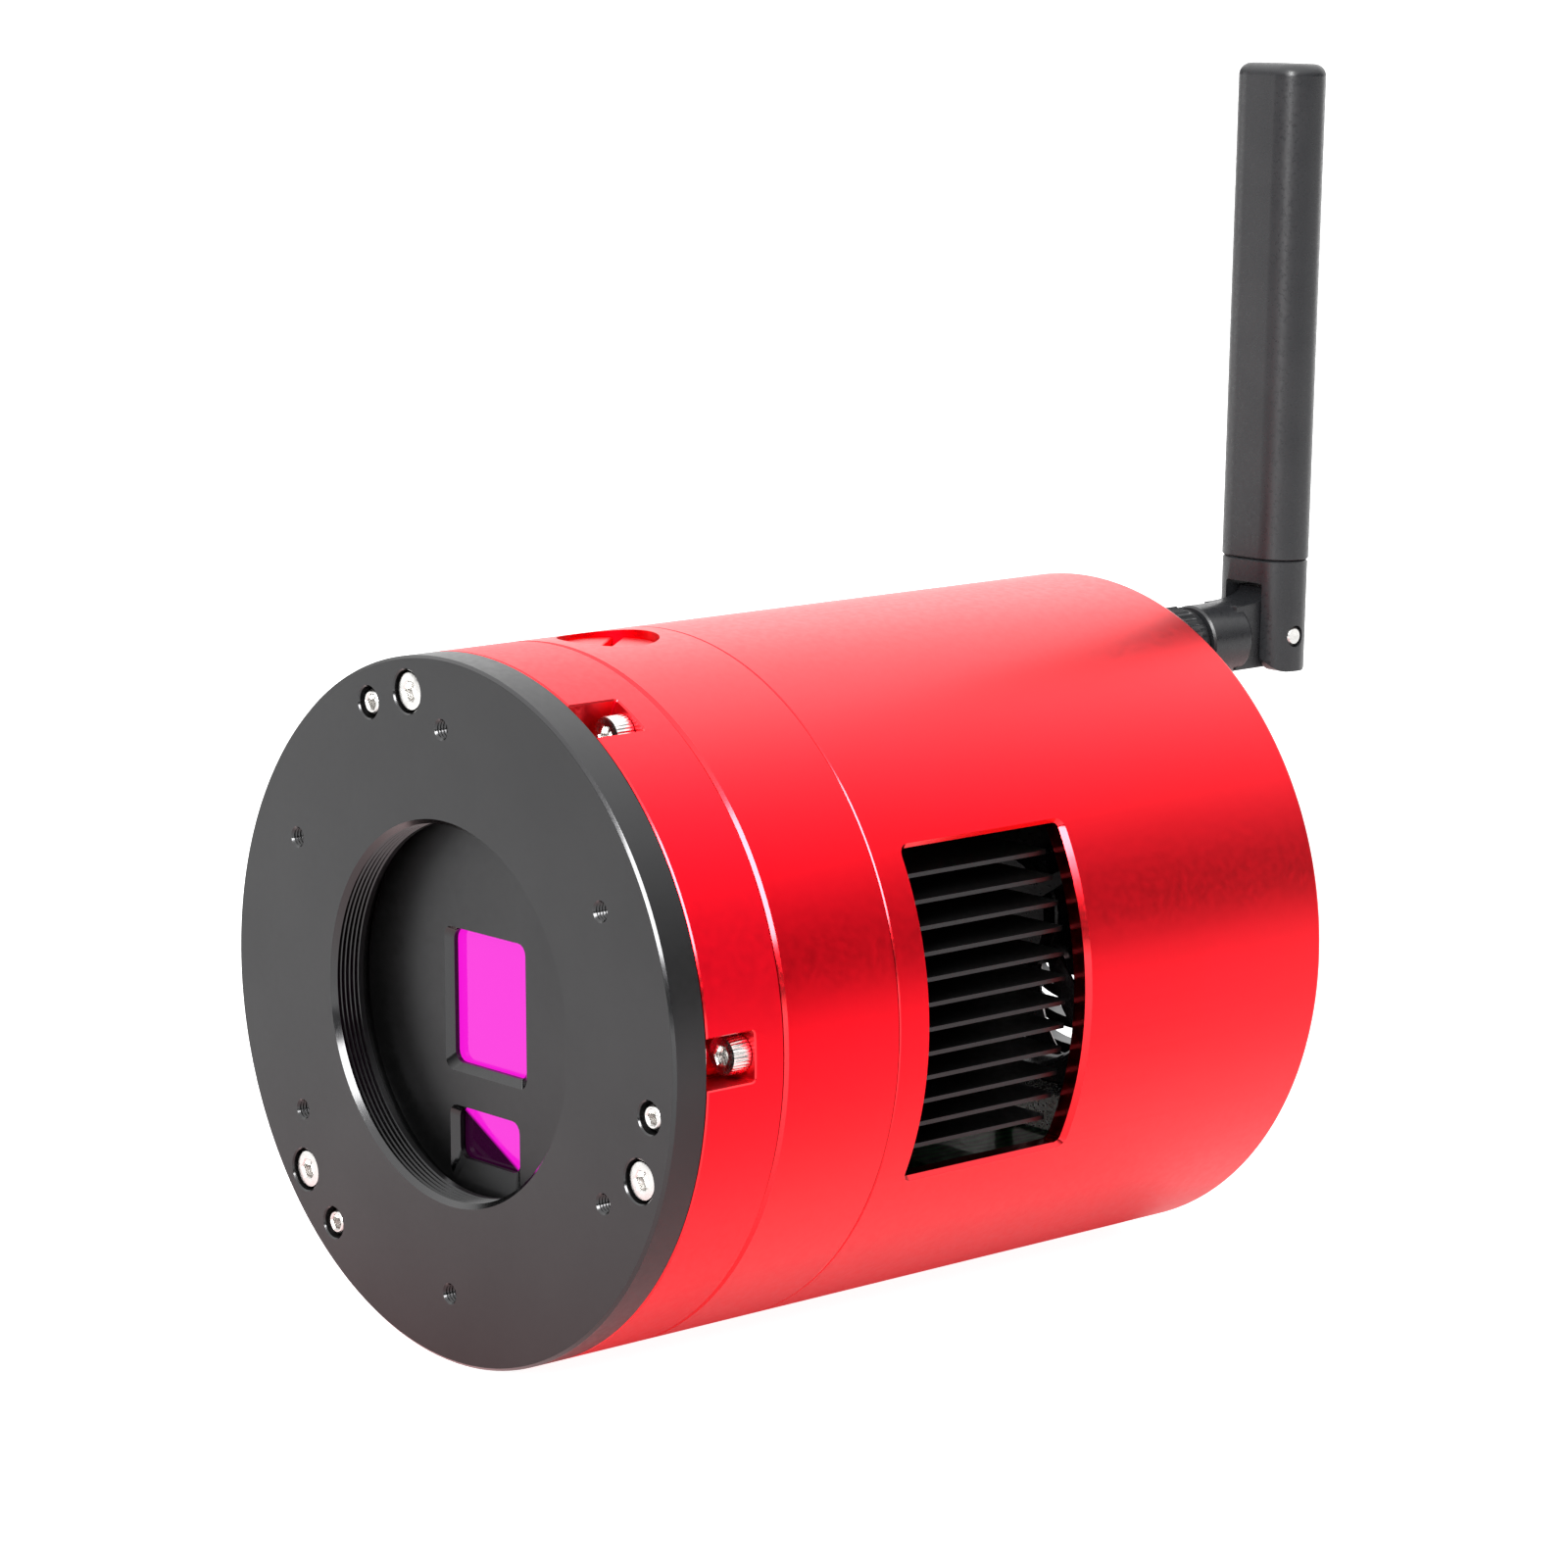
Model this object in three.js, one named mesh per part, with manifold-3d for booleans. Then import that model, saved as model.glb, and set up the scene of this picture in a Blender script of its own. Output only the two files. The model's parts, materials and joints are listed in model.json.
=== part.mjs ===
// Cooled astronomy camera with a built-in computer and a folding wireless antenna.
//
// Lengths are millimetres. The optical axis is Y: the camera looks along -Y, +X is on the right
// of someone facing the lens opening, and +Z is up. Every part is drawn with its depth measured
// backwards from the front face of the tilt plate, and the whole assembly is then moved so that
// the origin is the middle of the raised pad on the rear cover.
import * as THREE from 'three';
import { mergeVertices } from 'three/addons/utils/BufferGeometryUtils.js';
import Module from 'manifold-3d';

const wasm = await Module();
wasm.setup();

// ---- Driving dimensions ----------------------------------------------------------------------
const BODY_RADIUS = 50;
const BODY_LENGTH = 123.4; // front of the tilt plate to the rear rim
const SEAM_GAP = 0.1; // between stacked shells
const FIT_GAP = 0.3; // between a piece and the hole or seat it stands in
const SEAL_GAP = 0.2; // between an O-ring and its groove
const EDGE_CHAMFER = 0.5;
const RING_SIDES = 40;
const SCREW_SIDES = 12;

const PLATE_DEPTH = 5.6;
const OPENING_RADIUS = 26.6; // crest radius of the female thread
const OPENING_CHAMFER = 0.7;
const ACCESSORY_HOLES = { count: 6, circle: 40, radius: 1.25, depth: 4.4, firstAngle: 30 };

const TILT_CIRCLE = 45;
const TILT_PULL_ANGLE = 100; // first cap screw; the others follow every 120 degrees
const TILT_PUSH_ANGLE = 112; // first grub screw
const TILT_LIFT = 0.4; // how far the plate is lifted off the housing at most
const TILT_STATIONS = 3;

const CAP_SCREW = { headRadius: 2.75, headHeight: 3, shankRadius: 1.5, socketRadius: 1.44 };
const GRUB_SCREW = { radius: 1.95, length: 4.9, socketRadius: 1.15 };
const REAR_SCREW = { headRadius: 2.5, headHeight: 1.5, shankRadius: 1.25, socketRadius: 1.1 };
const PULL_HEAD_RECESS = 0.5;
const PULL_SCREW_REACH = 8; // shank below the head
const HOUSING_SCREW_REACH = 14;
const FAN_SCREW_REACH = 14;
const COVER_SCREW_REACH = 8;
const REAR_HEAD_RECESS = 0.2;
const SOCKET_DEPTH = 1.5;
const SCREW_HOLE_RADIUS = CAP_SCREW.shankRadius + FIT_GAP;
const REAR_HOLE_RADIUS = REAR_SCREW.shankRadius + FIT_GAP;

const FRONT_HOUSING = { front: PLATE_DEPTH + SEAM_GAP, rear: 19.2 };
const MID_HOUSING = { front: 19.2 + SEAM_GAP, rear: 39.6 };
const REAR_TUBE = { front: 39.6 + SEAM_GAP, rear: BODY_LENGTH, wall: 3 };

const POCKET = { count: 6, firstAngle: 1, floorRadius: 43.4, width: 7, rear: 13.9 };
const HOUSING_SCREW_CIRCLE = 46.6;

const MASK = { radius: 28.6, front: 7.6, rear: 9.2 };
const SENSOR_APERTURE = {
  throat: { width: 16.4, height: 19.2, x: -0.9, z: 0.1 },
  mouth: { width: 18.6, height: 20.7, x: -0.9, z: -0.25 },
};
const GUIDE_APERTURE = {
  throat: { width: 13.8, height: 7.4, x: -1.4, z: -19.6 },
  mouth: { width: 16, height: 10.6, x: -1.4, z: -20.8 },
};
const APERTURE = { corner: 1.6, lip: 0.5 }; // lip: depth of the mouth

const WINDOW = { radius: 26.6, front: 9.6, rear: 11.6 };
const WINDOW_SEAT = 11.9;
const WINDOW_GROOVE = { inner: 23.4, outer: 25.6, rear: 13 };
const HEATER = { inner: 19.6, outer: 22.4, rear: 12.1 };
const CHAMBER_RADIUS = 36;
const ORING = { inner: 38.6, outer: 40.6, depth: 1.1 };
const SENSOR_PLANE = 17.5; // flange focal distance
const IMAGE_SENSOR = { width: 32, height: 25, thickness: 2.3 };
const GUIDE_SENSOR = { width: 12, height: 9, thickness: 1.4, z: -22.5 };
const SENSOR_BOARD = { radius: 34, front: 20.2, rear: 21.8 };
const COLD_FINGER = { size: 20, front: 20, rear: 27.6 };
const COLD_STAGE = { size: 22, front: 27.9, rear: 31.3 };
const HOT_STAGE = { size: 30, front: 31.6, rear: 35.8 };
const COLLAR = { inner: 22.6, outer: 35, front: 24, rear: 33 };
const WEB = { inner: 23.4, front: 34.5 }; // the mid housing's flange behind the chamber
const DESICCANT = { x: 0, z: 29, radius: 5, height: 1.8 };
const PLUG = { depth: 29.4, seatRadius: 7.25, seat: 45.4, top: 48.8, bore: 5 }; // heights are z
const PLUG_SLOT = { width: 1.6, depth: 1.2, angle: 50 };

const PEDESTAL = { size: 32, front: 36.1 };
const HEAT_SINK = { baseRadius: 46.4, front: 39.9, fins: 44, rear: 75.6, finRadius: 45.6 };
const FIN = { count: 12, pitch: 3.5, thickness: 0.6 };
const VENT = { front: 45, rear: 75, bottom: -22.6, top: 24.2, corner: 0.8 };

const FAN = { size: 50, front: 106, rear: 118, bore: 23.6, hole: 20, screwHole: 1.7 };
const FAN_STRUTS = { angles: [30, 150, 270], width: 2.4, rear: FAN.front + 1.6 };
const ROTOR = { front: 108.2, rear: 117.4, hub: 9, tip: 22.8 };
const FAN_BLADE = { count: 11, chord: 11, thickness: 1, pitch: 46 };
const FAN_SHAFT = { radius: 1, front: 106.2, rear: 111 };
const BOARD = { z: 33.8, thickness: 1.6, front: 80, rear: 117, halfWidth: 28.6 };
const RIBBON = { inner: 45.4, outer: 46, front: 84, rear: 96, height: 66 };
const PORT_Z = -29.6;
const PORT_REAR = 122.4;
const SHELL = 0.6; // sheet thickness of a socket shell
const USB = { width: 13, height: 5.8, front: 106, spread: 17 };
const USB_C = { width: 9, height: 3.4, front: 110, x: -22, z: PORT_Z };
const JACK = { radius: 3.4, wall: 0.8, pin: 1, front: 108, x: 22.5, z: PORT_Z + 0.4 };
const REAR_COVER = { radius: 46.6, front: 119.9, rear: 122.8 };
const REAR_PAD_RADIUS = 9;
const GRILLE = { rings: [12, 16.2, 20.4], slot: 2.6, spokes: 4, spokeWidth: 3 };
const COVER_SCREWS = { circle: 43.3, angles: [30, 150, 210, 330], lugRadius: 4.4, lugFront: 111 };

const BUTTON = { x: -13, z: 38.4, radius: 2.8, proud: 0.5, travel: 0.5 };
const SWITCH = { size: 6, front: 112.5, rear: 116.6, plunger: 1.5, plungerRear: 117.8 };
const LIGHT_PIPE = { x: -1.5, z: 39, radius: 1.2 };

const CONNECTOR = { radius: 3.1, flange: 4, front: 113, rear: 130.6 };
const ANTENNA = { x: 11.8, z: 39.9, pivotDepth: 149, lean: 1.8 };
const ANTENNA_NUT = { front: 124.2, rear: 133, radius: 5.65, bore: 3.5, taper: 0.6 };
const ELBOW = { front: 133.2, rear: 141.6, radius: 5.5 };
const KNUCKLE = { halfWidth: 3.5, front: 5.6, rise: 7.1, tip: 4.8, curve: 4.2 };
const FORK = { width: 14.1, depth: 9.1, slot: 7.6, ceiling: 8.1, bottom: 5.4, top: 11.6, corner: 3 };
const BLADE = { width: 14.3, depth: 9.4, top: 86.8, tipRadius: 1.6 };
const PIN = { radius: 1.5, length: 13.6 };

// ---- Finishes ---------------------------------------------------------------------------------
const finish = (color, roughness, metalness) =>
  new THREE.MeshStandardMaterial({ color, roughness, metalness });

const FINISHES = {
  redAnodised: finish(0xd6141c, 0.38, 0.75),
  blackAnodised: finish(0x1c1c1e, 0.45, 0.6),
  blackPlastic: finish(0x2b2c2f, 0.5, 0),
  steel: finish(0xc9cacc, 0.25, 1),
  copper: finish(0xb87347, 0.35, 1),
  gold: finish(0xd3a84c, 0.3, 1),
  sensorGlass: finish(0xe62fd0, 0.1, 0.1),
  circuitBoard: finish(0x12502c, 0.55, 0.1),
  rubber: finish(0x161616, 0.8, 0),
  polyimide: finish(0xb9762a, 0.5, 0),
  ceramic: finish(0xe9e6df, 0.6, 0),
  foam: finish(0x3b3d42, 0.95, 0),
  lightPipe: finish(0xe8f2ea, 0.2, 0),
};

// ---- Geometry helpers -------------------------------------------------------------------------
const radians = (degrees) => (degrees * Math.PI) / 180;

// The x and z of a point on a circle about the optical axis; 0 degrees is +X and 90 is up.
const onCircle = (radius, degrees) => ({
  x: radius * Math.cos(radians(degrees)),
  z: radius * Math.sin(radians(degrees)),
});

function signedArea(points) {
  return points.reduce((sum, [r, y], i) => {
    const [nextR, nextY] = points[(i + 1) % points.length];
    return sum + (r * nextY - nextR * y) / 2;
  }, 0);
}

// A body of revolution about Y from [radius, depth] points. The outline closes on itself.
function revolve(points, sides = RING_SIDES) {
  const outline = signedArea(points) > 0 ? points : [...points].reverse();
  const onAxis = outline.filter(([r]) => r === 0).length === 2;
  let path = [...outline, outline[0]];
  if (onAxis) {
    const start = outline.findIndex(([r], i) => r === 0 && outline.at(i - 1)[0] === 0);
    path = [...outline.slice(start), ...outline.slice(0, start)];
  }
  return new THREE.LatheGeometry(path.map(([r, y]) => new THREE.Vector2(r, y)), sides);
}

function disc(radius, front, rear, sides = RING_SIDES) {
  return revolve([[0, front], [radius, front], [radius, rear], [0, rear]], sides);
}

function ring(inner, outer, front, rear, sides = RING_SIDES) {
  return revolve([[inner, front], [outer, front], [outer, rear], [inner, rear]], sides);
}

// A cylinder along Y from depth front to rear, centred on x and z.
function rod({ x = 0, z = 0 }, radius, front, rear, sides = SCREW_SIDES) {
  const geometry = new THREE.CylinderGeometry(radius, radius, rear - front, sides);
  return geometry.translate(x, (front + rear) / 2, z);
}

// A cylinder along X between two x values.
function crossRod(radius, xLow, xHigh, depth, z, sides = SCREW_SIDES) {
  const geometry = new THREE.CylinderGeometry(radius, radius, xHigh - xLow, sides);
  return geometry.rotateZ(Math.PI / 2).translate((xLow + xHigh) / 2, depth, z);
}

// A rod that stands upright over the axis at a depth, from one height to another.
function uprightRod(radius, bottom, top, depth) {
  return disc(radius, bottom, top).rotateX(Math.PI / 2).translate(0, depth, 0);
}

// A box from its lowest to its highest corner, each [x, depth, z].
function block([x0, y0, z0], [x1, y1, z1]) {
  const geometry = new THREE.BoxGeometry(x1 - x0, y1 - y0, z1 - z0);
  return geometry.translate((x0 + x1) / 2, (y0 + y1) / 2, (z0 + z1) / 2);
}

// A box centred on x and z, between two depths.
function slab({ x = 0, z = 0 }, width, height, front, rear) {
  return block([x - width / 2, front, z - height / 2], [x + width / 2, rear, z + height / 2]);
}

function roundedRectangle(width, height, corner) {
  const shape = new THREE.Shape();
  const [w, h] = [width / 2, height / 2];
  shape.moveTo(w, -h + corner);
  shape.absarc(w - corner, h - corner, corner, 0, Math.PI / 2);
  shape.absarc(-w + corner, h - corner, corner, Math.PI / 2, Math.PI);
  shape.absarc(-w + corner, -h + corner, corner, Math.PI, 1.5 * Math.PI);
  shape.absarc(w - corner, -h + corner, corner, 1.5 * Math.PI, 2 * Math.PI);
  return shape;
}

// A flat shape drawn in x and z and pushed along the optical axis from front to rear.
function pushedBack(shape, front, rear, curveSegments = 3) {
  const options = { depth: rear - front, bevelEnabled: false, curveSegments };
  return new THREE.ExtrudeGeometry(shape, options).rotateX(Math.PI / 2).translate(0, rear, 0);
}

// A flat shape drawn in depth and height and pushed along X between two x values.
const DRAWN_TO_SIDE = new THREE.Matrix4().makeBasis(
  new THREE.Vector3(0, 1, 0),
  new THREE.Vector3(0, 0, 1),
  new THREE.Vector3(1, 0, 0),
);

function pushedSideways(shape, xLow, xHigh, curveSegments = 4) {
  const options = { depth: xHigh - xLow, bevelEnabled: false, curveSegments };
  return new THREE.ExtrudeGeometry(shape, options).applyMatrix4(DRAWN_TO_SIDE).translate(xLow, 0, 0);
}

function solid(geometry) {
  const bare = geometry.index ? geometry.toNonIndexed() : geometry.clone();
  bare.deleteAttribute('normal');
  bare.deleteAttribute('uv');
  const merged = mergeVertices(bare, 1e-4);
  return new wasm.Manifold(new wasm.Mesh({
    numProp: 3,
    vertProperties: new Float32Array(merged.attributes.position.array),
    triVerts: new Uint32Array(merged.index.array),
  }));
}

function geometryOf(manifold) {
  const { vertProperties, triVerts } = manifold.getMesh();
  const geometry = new THREE.BufferGeometry();
  geometry.setAttribute('position', new THREE.BufferAttribute(vertProperties, 3));
  geometry.setIndex(new THREE.BufferAttribute(triVerts, 1));
  geometry.computeVertexNormals();
  return geometry;
}

const cut = (body, tools) =>
  geometryOf(tools.reduce((left, tool) => left.subtract(solid(tool)), solid(body)));

const join = (pieces) =>
  geometryOf(pieces.slice(1).reduce((whole, piece) => whole.add(solid(piece)), solid(pieces[0])));

const common = (a, b) => geometryOf(solid(a).intersect(solid(b)));

const assembly = new THREE.Group();

function place(name, geometry, material, parent = assembly) {
  const mesh = new THREE.Mesh(geometry, material);
  mesh.name = name;
  parent.add(mesh);
  return mesh;
}

const stations = (count, firstAngle, circle) =>
  Array.from({ length: count }, (_, i) => onCircle(circle, firstAngle + (i * 360) / count));

// ---- Screws -----------------------------------------------------------------------------------
// A socket cap screw whose head faces the front, with its head's top at depth front.
function capScrew(spot, front, shankLength, size = CAP_SCREW) {
  const seat = front + size.headHeight;
  const head = rod(spot, size.headRadius, front, seat);
  const shank = rod(spot, size.shankRadius, seat - 0.5, seat + shankLength);
  const socket = rod(spot, size.socketRadius, front - 1, front + SOCKET_DEPTH, 6);
  return cut(join([head, shank]), [socket]);
}

// A pan-head screw put in from the rear, with its head's top at depth rear.
function rearScrew(spot, rear, shankLength) {
  const { headRadius, headHeight, shankRadius, socketRadius } = REAR_SCREW;
  const seat = rear - headHeight;
  const head = rod(spot, headRadius, seat, rear);
  const shank = rod(spot, shankRadius, seat - shankLength, seat + 0.5);
  const socket = rod(spot, socketRadius, rear - 1, rear + 1, 6);
  return cut(join([head, shank]), [socket]);
}

function grubScrew(spot, front) {
  const body = rod(spot, GRUB_SCREW.radius, front, front + GRUB_SCREW.length);
  const socket = rod(spot, GRUB_SCREW.socketRadius, front - 1, front + SOCKET_DEPTH, 6);
  return cut(body, [socket]);
}

// ---- Tilt plate with its pull and push screws -------------------------------------------------
const pullSpots = stations(TILT_STATIONS, TILT_PULL_ANGLE, TILT_CIRCLE);
const pushSpots = stations(TILT_STATIONS, TILT_PUSH_ANGLE, TILT_CIRCLE);

function tiltPlate() {
  const inner = OPENING_RADIUS;
  const body = revolve([
    [inner + OPENING_CHAMFER, 0],
    [BODY_RADIUS - EDGE_CHAMFER, 0],
    [BODY_RADIUS, EDGE_CHAMFER],
    [BODY_RADIUS, PLATE_DEPTH],
    [inner, PLATE_DEPTH],
    [inner, OPENING_CHAMFER],
  ]);
  const holes = ACCESSORY_HOLES;
  const headSeat = PULL_HEAD_RECESS + CAP_SCREW.headHeight + FIT_GAP;
  const tools = [
    ...stations(holes.count, holes.firstAngle, holes.circle)
      .map((spot) => rod(spot, holes.radius, -1, holes.depth, 10)),
    ...pullSpots.map((spot) => rod(spot, CAP_SCREW.headRadius + FIT_GAP, -1, headSeat)),
    ...pullSpots.map((spot) => rod(spot, SCREW_HOLE_RADIUS, 0, PLATE_DEPTH + 1)),
    ...pushSpots.map((spot) => rod(spot, GRUB_SCREW.radius + FIT_GAP, -1, PLATE_DEPTH + 1)),
  ];
  return cut(body, tools);
}

// ---- Front housing: the red ring that holds the mask and the window ---------------------------
const housingSpots = stations(POCKET.count, POCKET.firstAngle, HOUSING_SCREW_CIRCLE);

// A pocket opens to the outside and to the tilt plate, so that the screw in it can be reached.
function pocketTool(index) {
  const { floorRadius, width, rear, count, firstAngle } = POCKET;
  const tool = block([floorRadius, 0, -width / 2], [BODY_RADIUS + 5, rear, width / 2]);
  return tool.rotateY(-radians(firstAngle + (index * 360) / count));
}

function frontHousing() {
  const { front, rear } = FRONT_HOUSING;
  const maskSeat = MASK.rear + SEAL_GAP;
  const body = revolve([
    [MASK.radius + FIT_GAP, front],
    [BODY_RADIUS, front],
    [BODY_RADIUS, rear],
    [ORING.outer, rear],
    [ORING.outer, rear - ORING.depth],
    [ORING.inner, rear - ORING.depth],
    [ORING.inner, rear],
    [CHAMBER_RADIUS, rear],
    [CHAMBER_RADIUS, WINDOW_SEAT + 2],
    [WINDOW.radius - 4, WINDOW_SEAT + 2],
    [WINDOW.radius - 4, WINDOW_SEAT],
    [WINDOW_GROOVE.inner, WINDOW_SEAT],
    [WINDOW_GROOVE.inner, WINDOW_GROOVE.rear],
    [WINDOW_GROOVE.outer, WINDOW_GROOVE.rear],
    [WINDOW_GROOVE.outer, WINDOW_SEAT],
    [WINDOW.radius + FIT_GAP, WINDOW_SEAT],
    [WINDOW.radius + FIT_GAP, maskSeat],
    [MASK.radius + FIT_GAP, maskSeat],
  ]);
  const pullHoleEnd = PULL_HEAD_RECESS + CAP_SCREW.headHeight + PULL_SCREW_REACH + 1;
  const tools = [
    ...housingSpots.map((_, i) => pocketTool(i)),
    ...housingSpots.map((spot) => rod(spot, SCREW_HOLE_RADIUS, POCKET.rear - 1, rear + 1)),
    ...pullSpots.map((spot) => rod(spot, SCREW_HOLE_RADIUS, 0, pullHoleEnd)),
  ];
  return cut(body, tools);
}

// ---- Sensor mask, window and cold chamber -----------------------------------------------------
// A narrow throat right through the mask and a wider mouth in its front.
function apertureTools({ throat, mouth }) {
  const shape = ({ width, height }) => roundedRectangle(width, height, APERTURE.corner);
  const { front, rear } = MASK;
  return [
    pushedBack(shape(throat), front - 1, rear + 1).translate(throat.x, 0, throat.z),
    pushedBack(shape(mouth), front - 1, front + APERTURE.lip).translate(mouth.x, 0, mouth.z),
  ];
}

function sensorMask() {
  const body = disc(MASK.radius, MASK.front, MASK.rear);
  return cut(body, [...apertureTools(SENSOR_APERTURE), ...apertureTools(GUIDE_APERTURE)]);
}

function sensorBoard() {
  const { radius, front, rear } = SENSOR_BOARD;
  const opening = COLD_FINGER.size + 2 * FIT_GAP;
  return cut(disc(radius, front, rear), [slab({}, opening, opening, front - 1, rear + 1)]);
}

function midHousing() {
  const { front, rear } = MID_HOUSING;
  const body = revolve([
    [CHAMBER_RADIUS, front],
    [BODY_RADIUS, front],
    [BODY_RADIUS, rear],
    [WEB.inner, rear],
    [WEB.inner, WEB.front],
    [CHAMBER_RADIUS, WEB.front],
  ]);
  const holeEnd = POCKET.rear + HOUSING_SCREW_REACH + 1;
  const screwHoles = housingSpots.map((spot) => rod(spot, SCREW_HOLE_RADIUS, 0, holeEnd));
  const plugSeat = uprightRod(PLUG.seatRadius, PLUG.seat, BODY_RADIUS + 1, PLUG.depth);
  const plugBore = uprightRod(PLUG.bore, CHAMBER_RADIUS - 5, PLUG.seat + 1, PLUG.depth);
  return cut(body, [...screwHoles, plugSeat, plugBore]);
}

// The plug on top that gives access to the drying agent, with a slot for a coin.
function desiccantPlug() {
  const { depth, seatRadius, seat, top } = PLUG;
  const plug = uprightRod(seatRadius - FIT_GAP, seat + SEAM_GAP, top, depth);
  const half = PLUG_SLOT.width / 2;
  const slot = block([-seatRadius, -half, top - PLUG_SLOT.depth], [seatRadius, half, top + 1])
    .rotateZ(-radians(PLUG_SLOT.angle)).translate(0, depth, 0);
  return cut(plug, [slot]);
}

// ---- Heat sink --------------------------------------------------------------------------------
function heatSink() {
  const { baseRadius, front, fins, rear, finRadius } = HEAT_SINK;
  const base = disc(baseRadius, front, fins);
  const pedestal = slab({}, PEDESTAL.size, PEDESTAL.size, PEDESTAL.front, front + 1);
  const finBlades = Array.from({ length: FIN.count }, (_, i) => {
    const z = (i - (FIN.count - 1) / 2) * FIN.pitch;
    const halfChord = Math.sqrt(finRadius ** 2 - z ** 2);
    return slab({ z }, 2 * halfChord, FIN.thickness, fins - 1, rear);
  });
  return join([base, pedestal, ...finBlades]);
}

// ---- Rear tube with its two cooling openings --------------------------------------------------
function rearTube() {
  const { front, rear, wall } = REAR_TUBE;
  const inner = BODY_RADIUS - wall;
  const tube = revolve([
    [inner, front],
    [BODY_RADIUS, front],
    [BODY_RADIUS, rear - 2 * EDGE_CHAMFER],
    [BODY_RADIUS - 2 * EDGE_CHAMFER, rear],
    [inner, rear],
  ]);
  const { circle, angles, lugRadius, lugFront } = COVER_SCREWS;
  const lugRear = REAR_COVER.front - SEAM_GAP;
  const lugs = angles.map((angle) => common(
    rod(onCircle(circle, angle), lugRadius, lugFront, lugRear),
    disc(inner + wall / 2, lugFront - 1, lugRear + 1),
  ));
  const ventShape = roundedRectangle(VENT.rear - VENT.front, VENT.top - VENT.bottom, VENT.corner);
  const vent = pushedSideways(ventShape, -BODY_RADIUS - 5, BODY_RADIUS + 5)
    .translate(0, (VENT.front + VENT.rear) / 2, (VENT.top + VENT.bottom) / 2);
  const screwHoles = angles.map((angle) =>
    rod(onCircle(circle, angle), REAR_HOLE_RADIUS, lugFront - 1, lugRear + 1));
  return cut(join([tube, ...lugs]), [vent, ...screwHoles]);
}

// ---- Fan --------------------------------------------------------------------------------------
const fanCorners = [[1, 1], [-1, 1], [-1, -1], [1, -1]]
  .map(([sx, sz]) => ({ x: sx * FAN.hole, z: sz * FAN.hole }));

function fanFrame() {
  const { size, front, rear, bore, screwHole } = FAN;
  const open = cut(slab({}, size, size, front, rear), [
    disc(bore, front - 1, rear + 1, 28),
    ...fanCorners.map((spot) => rod(spot, screwHole, front - 1, rear + 1)),
  ]);
  const half = FAN_STRUTS.width / 2;
  const struts = FAN_STRUTS.angles.map((angle) =>
    block([6, front, -half], [bore + 1, FAN_STRUTS.rear, half]).rotateY(-radians(angle)));
  const bearing = ring(FAN_SHAFT.radius + 0.4, ROTOR.hub - 0.5, front, FAN_STRUTS.rear, 24);
  return join([open, bearing, ...struts]);
}

function fanRotor() {
  const { front, rear, hub, tip } = ROTOR;
  const rounding = 0.8;
  const body = revolve([
    [0, front],
    [hub, front],
    [hub, rear - rounding],
    [hub - rounding, rear],
    [0, rear],
  ], 24);
  const { count, chord, thickness, pitch } = FAN_BLADE;
  const root = hub - 1; // the blades start inside the hub
  const blades = Array.from({ length: count }, (_, i) => {
    const blade = new THREE.BoxGeometry(tip - root, thickness, chord);
    blade.rotateX(radians(pitch)).translate((root + tip) / 2, 0, 0);
    return blade.rotateY((i * 2 * Math.PI) / count).translate(0, (front + rear) / 2, 0);
  });
  const bore = rod({}, FAN_SHAFT.radius + 0.15, front - 1, FAN_SHAFT.rear + 1);
  return cut(join([body, ...blades]), [bore]);
}

// ---- Circuit boards and rear sockets ----------------------------------------------------------
// Both boards lie flat along the body, one above and one below the fan's air path.
function boardAt(side) {
  const z = side * BOARD.z;
  return slab({ z }, 2 * BOARD.halfWidth, BOARD.thickness, BOARD.front, BOARD.rear);
}

const usbSpots = [-1, 1].map((side) => ({ x: (side * USB.spread) / 2, z: PORT_Z }));

function socketShell({ width, height, front }, spot) {
  const outer = slab(spot, width, height, front, PORT_REAR);
  const hollow = slab(spot, width - 2 * SHELL, height - 2 * SHELL, front + 2, PORT_REAR + 1);
  const tongue = slab(spot, width - 4 * SHELL, height / 4, front + 1, PORT_REAR - 2);
  return join([cut(outer, [hollow]), tongue]);
}

function powerJack() {
  const { radius, wall, front } = JACK;
  const body = rod(JACK, radius, front, PORT_REAR, 20);
  const bore = rod(JACK, radius - wall, front + 2, PORT_REAR + 1, 20);
  const pin = rod(JACK, JACK.pin, front + 1, PORT_REAR - 1, 12);
  return join([cut(body, [bore]), pin]);
}

// ---- Rear cover -------------------------------------------------------------------------------
// One ring of the fan grille: an annulus with the spokes left standing.
function grilleTool(radius) {
  const { slot, spokes, spokeWidth } = GRILLE;
  const [front, rear] = [REAR_COVER.front - 1, REAR_COVER.rear + 1];
  const annulus = ring(radius, radius + slot, front, rear, 24);
  const bars = Array.from({ length: spokes / 2 }, (_, i) =>
    block([-40, front - 1, -spokeWidth / 2], [40, rear + 1, spokeWidth / 2])
      .rotateY(radians(45 + (i * 360) / spokes)));
  return cut(annulus, bars);
}

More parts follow.
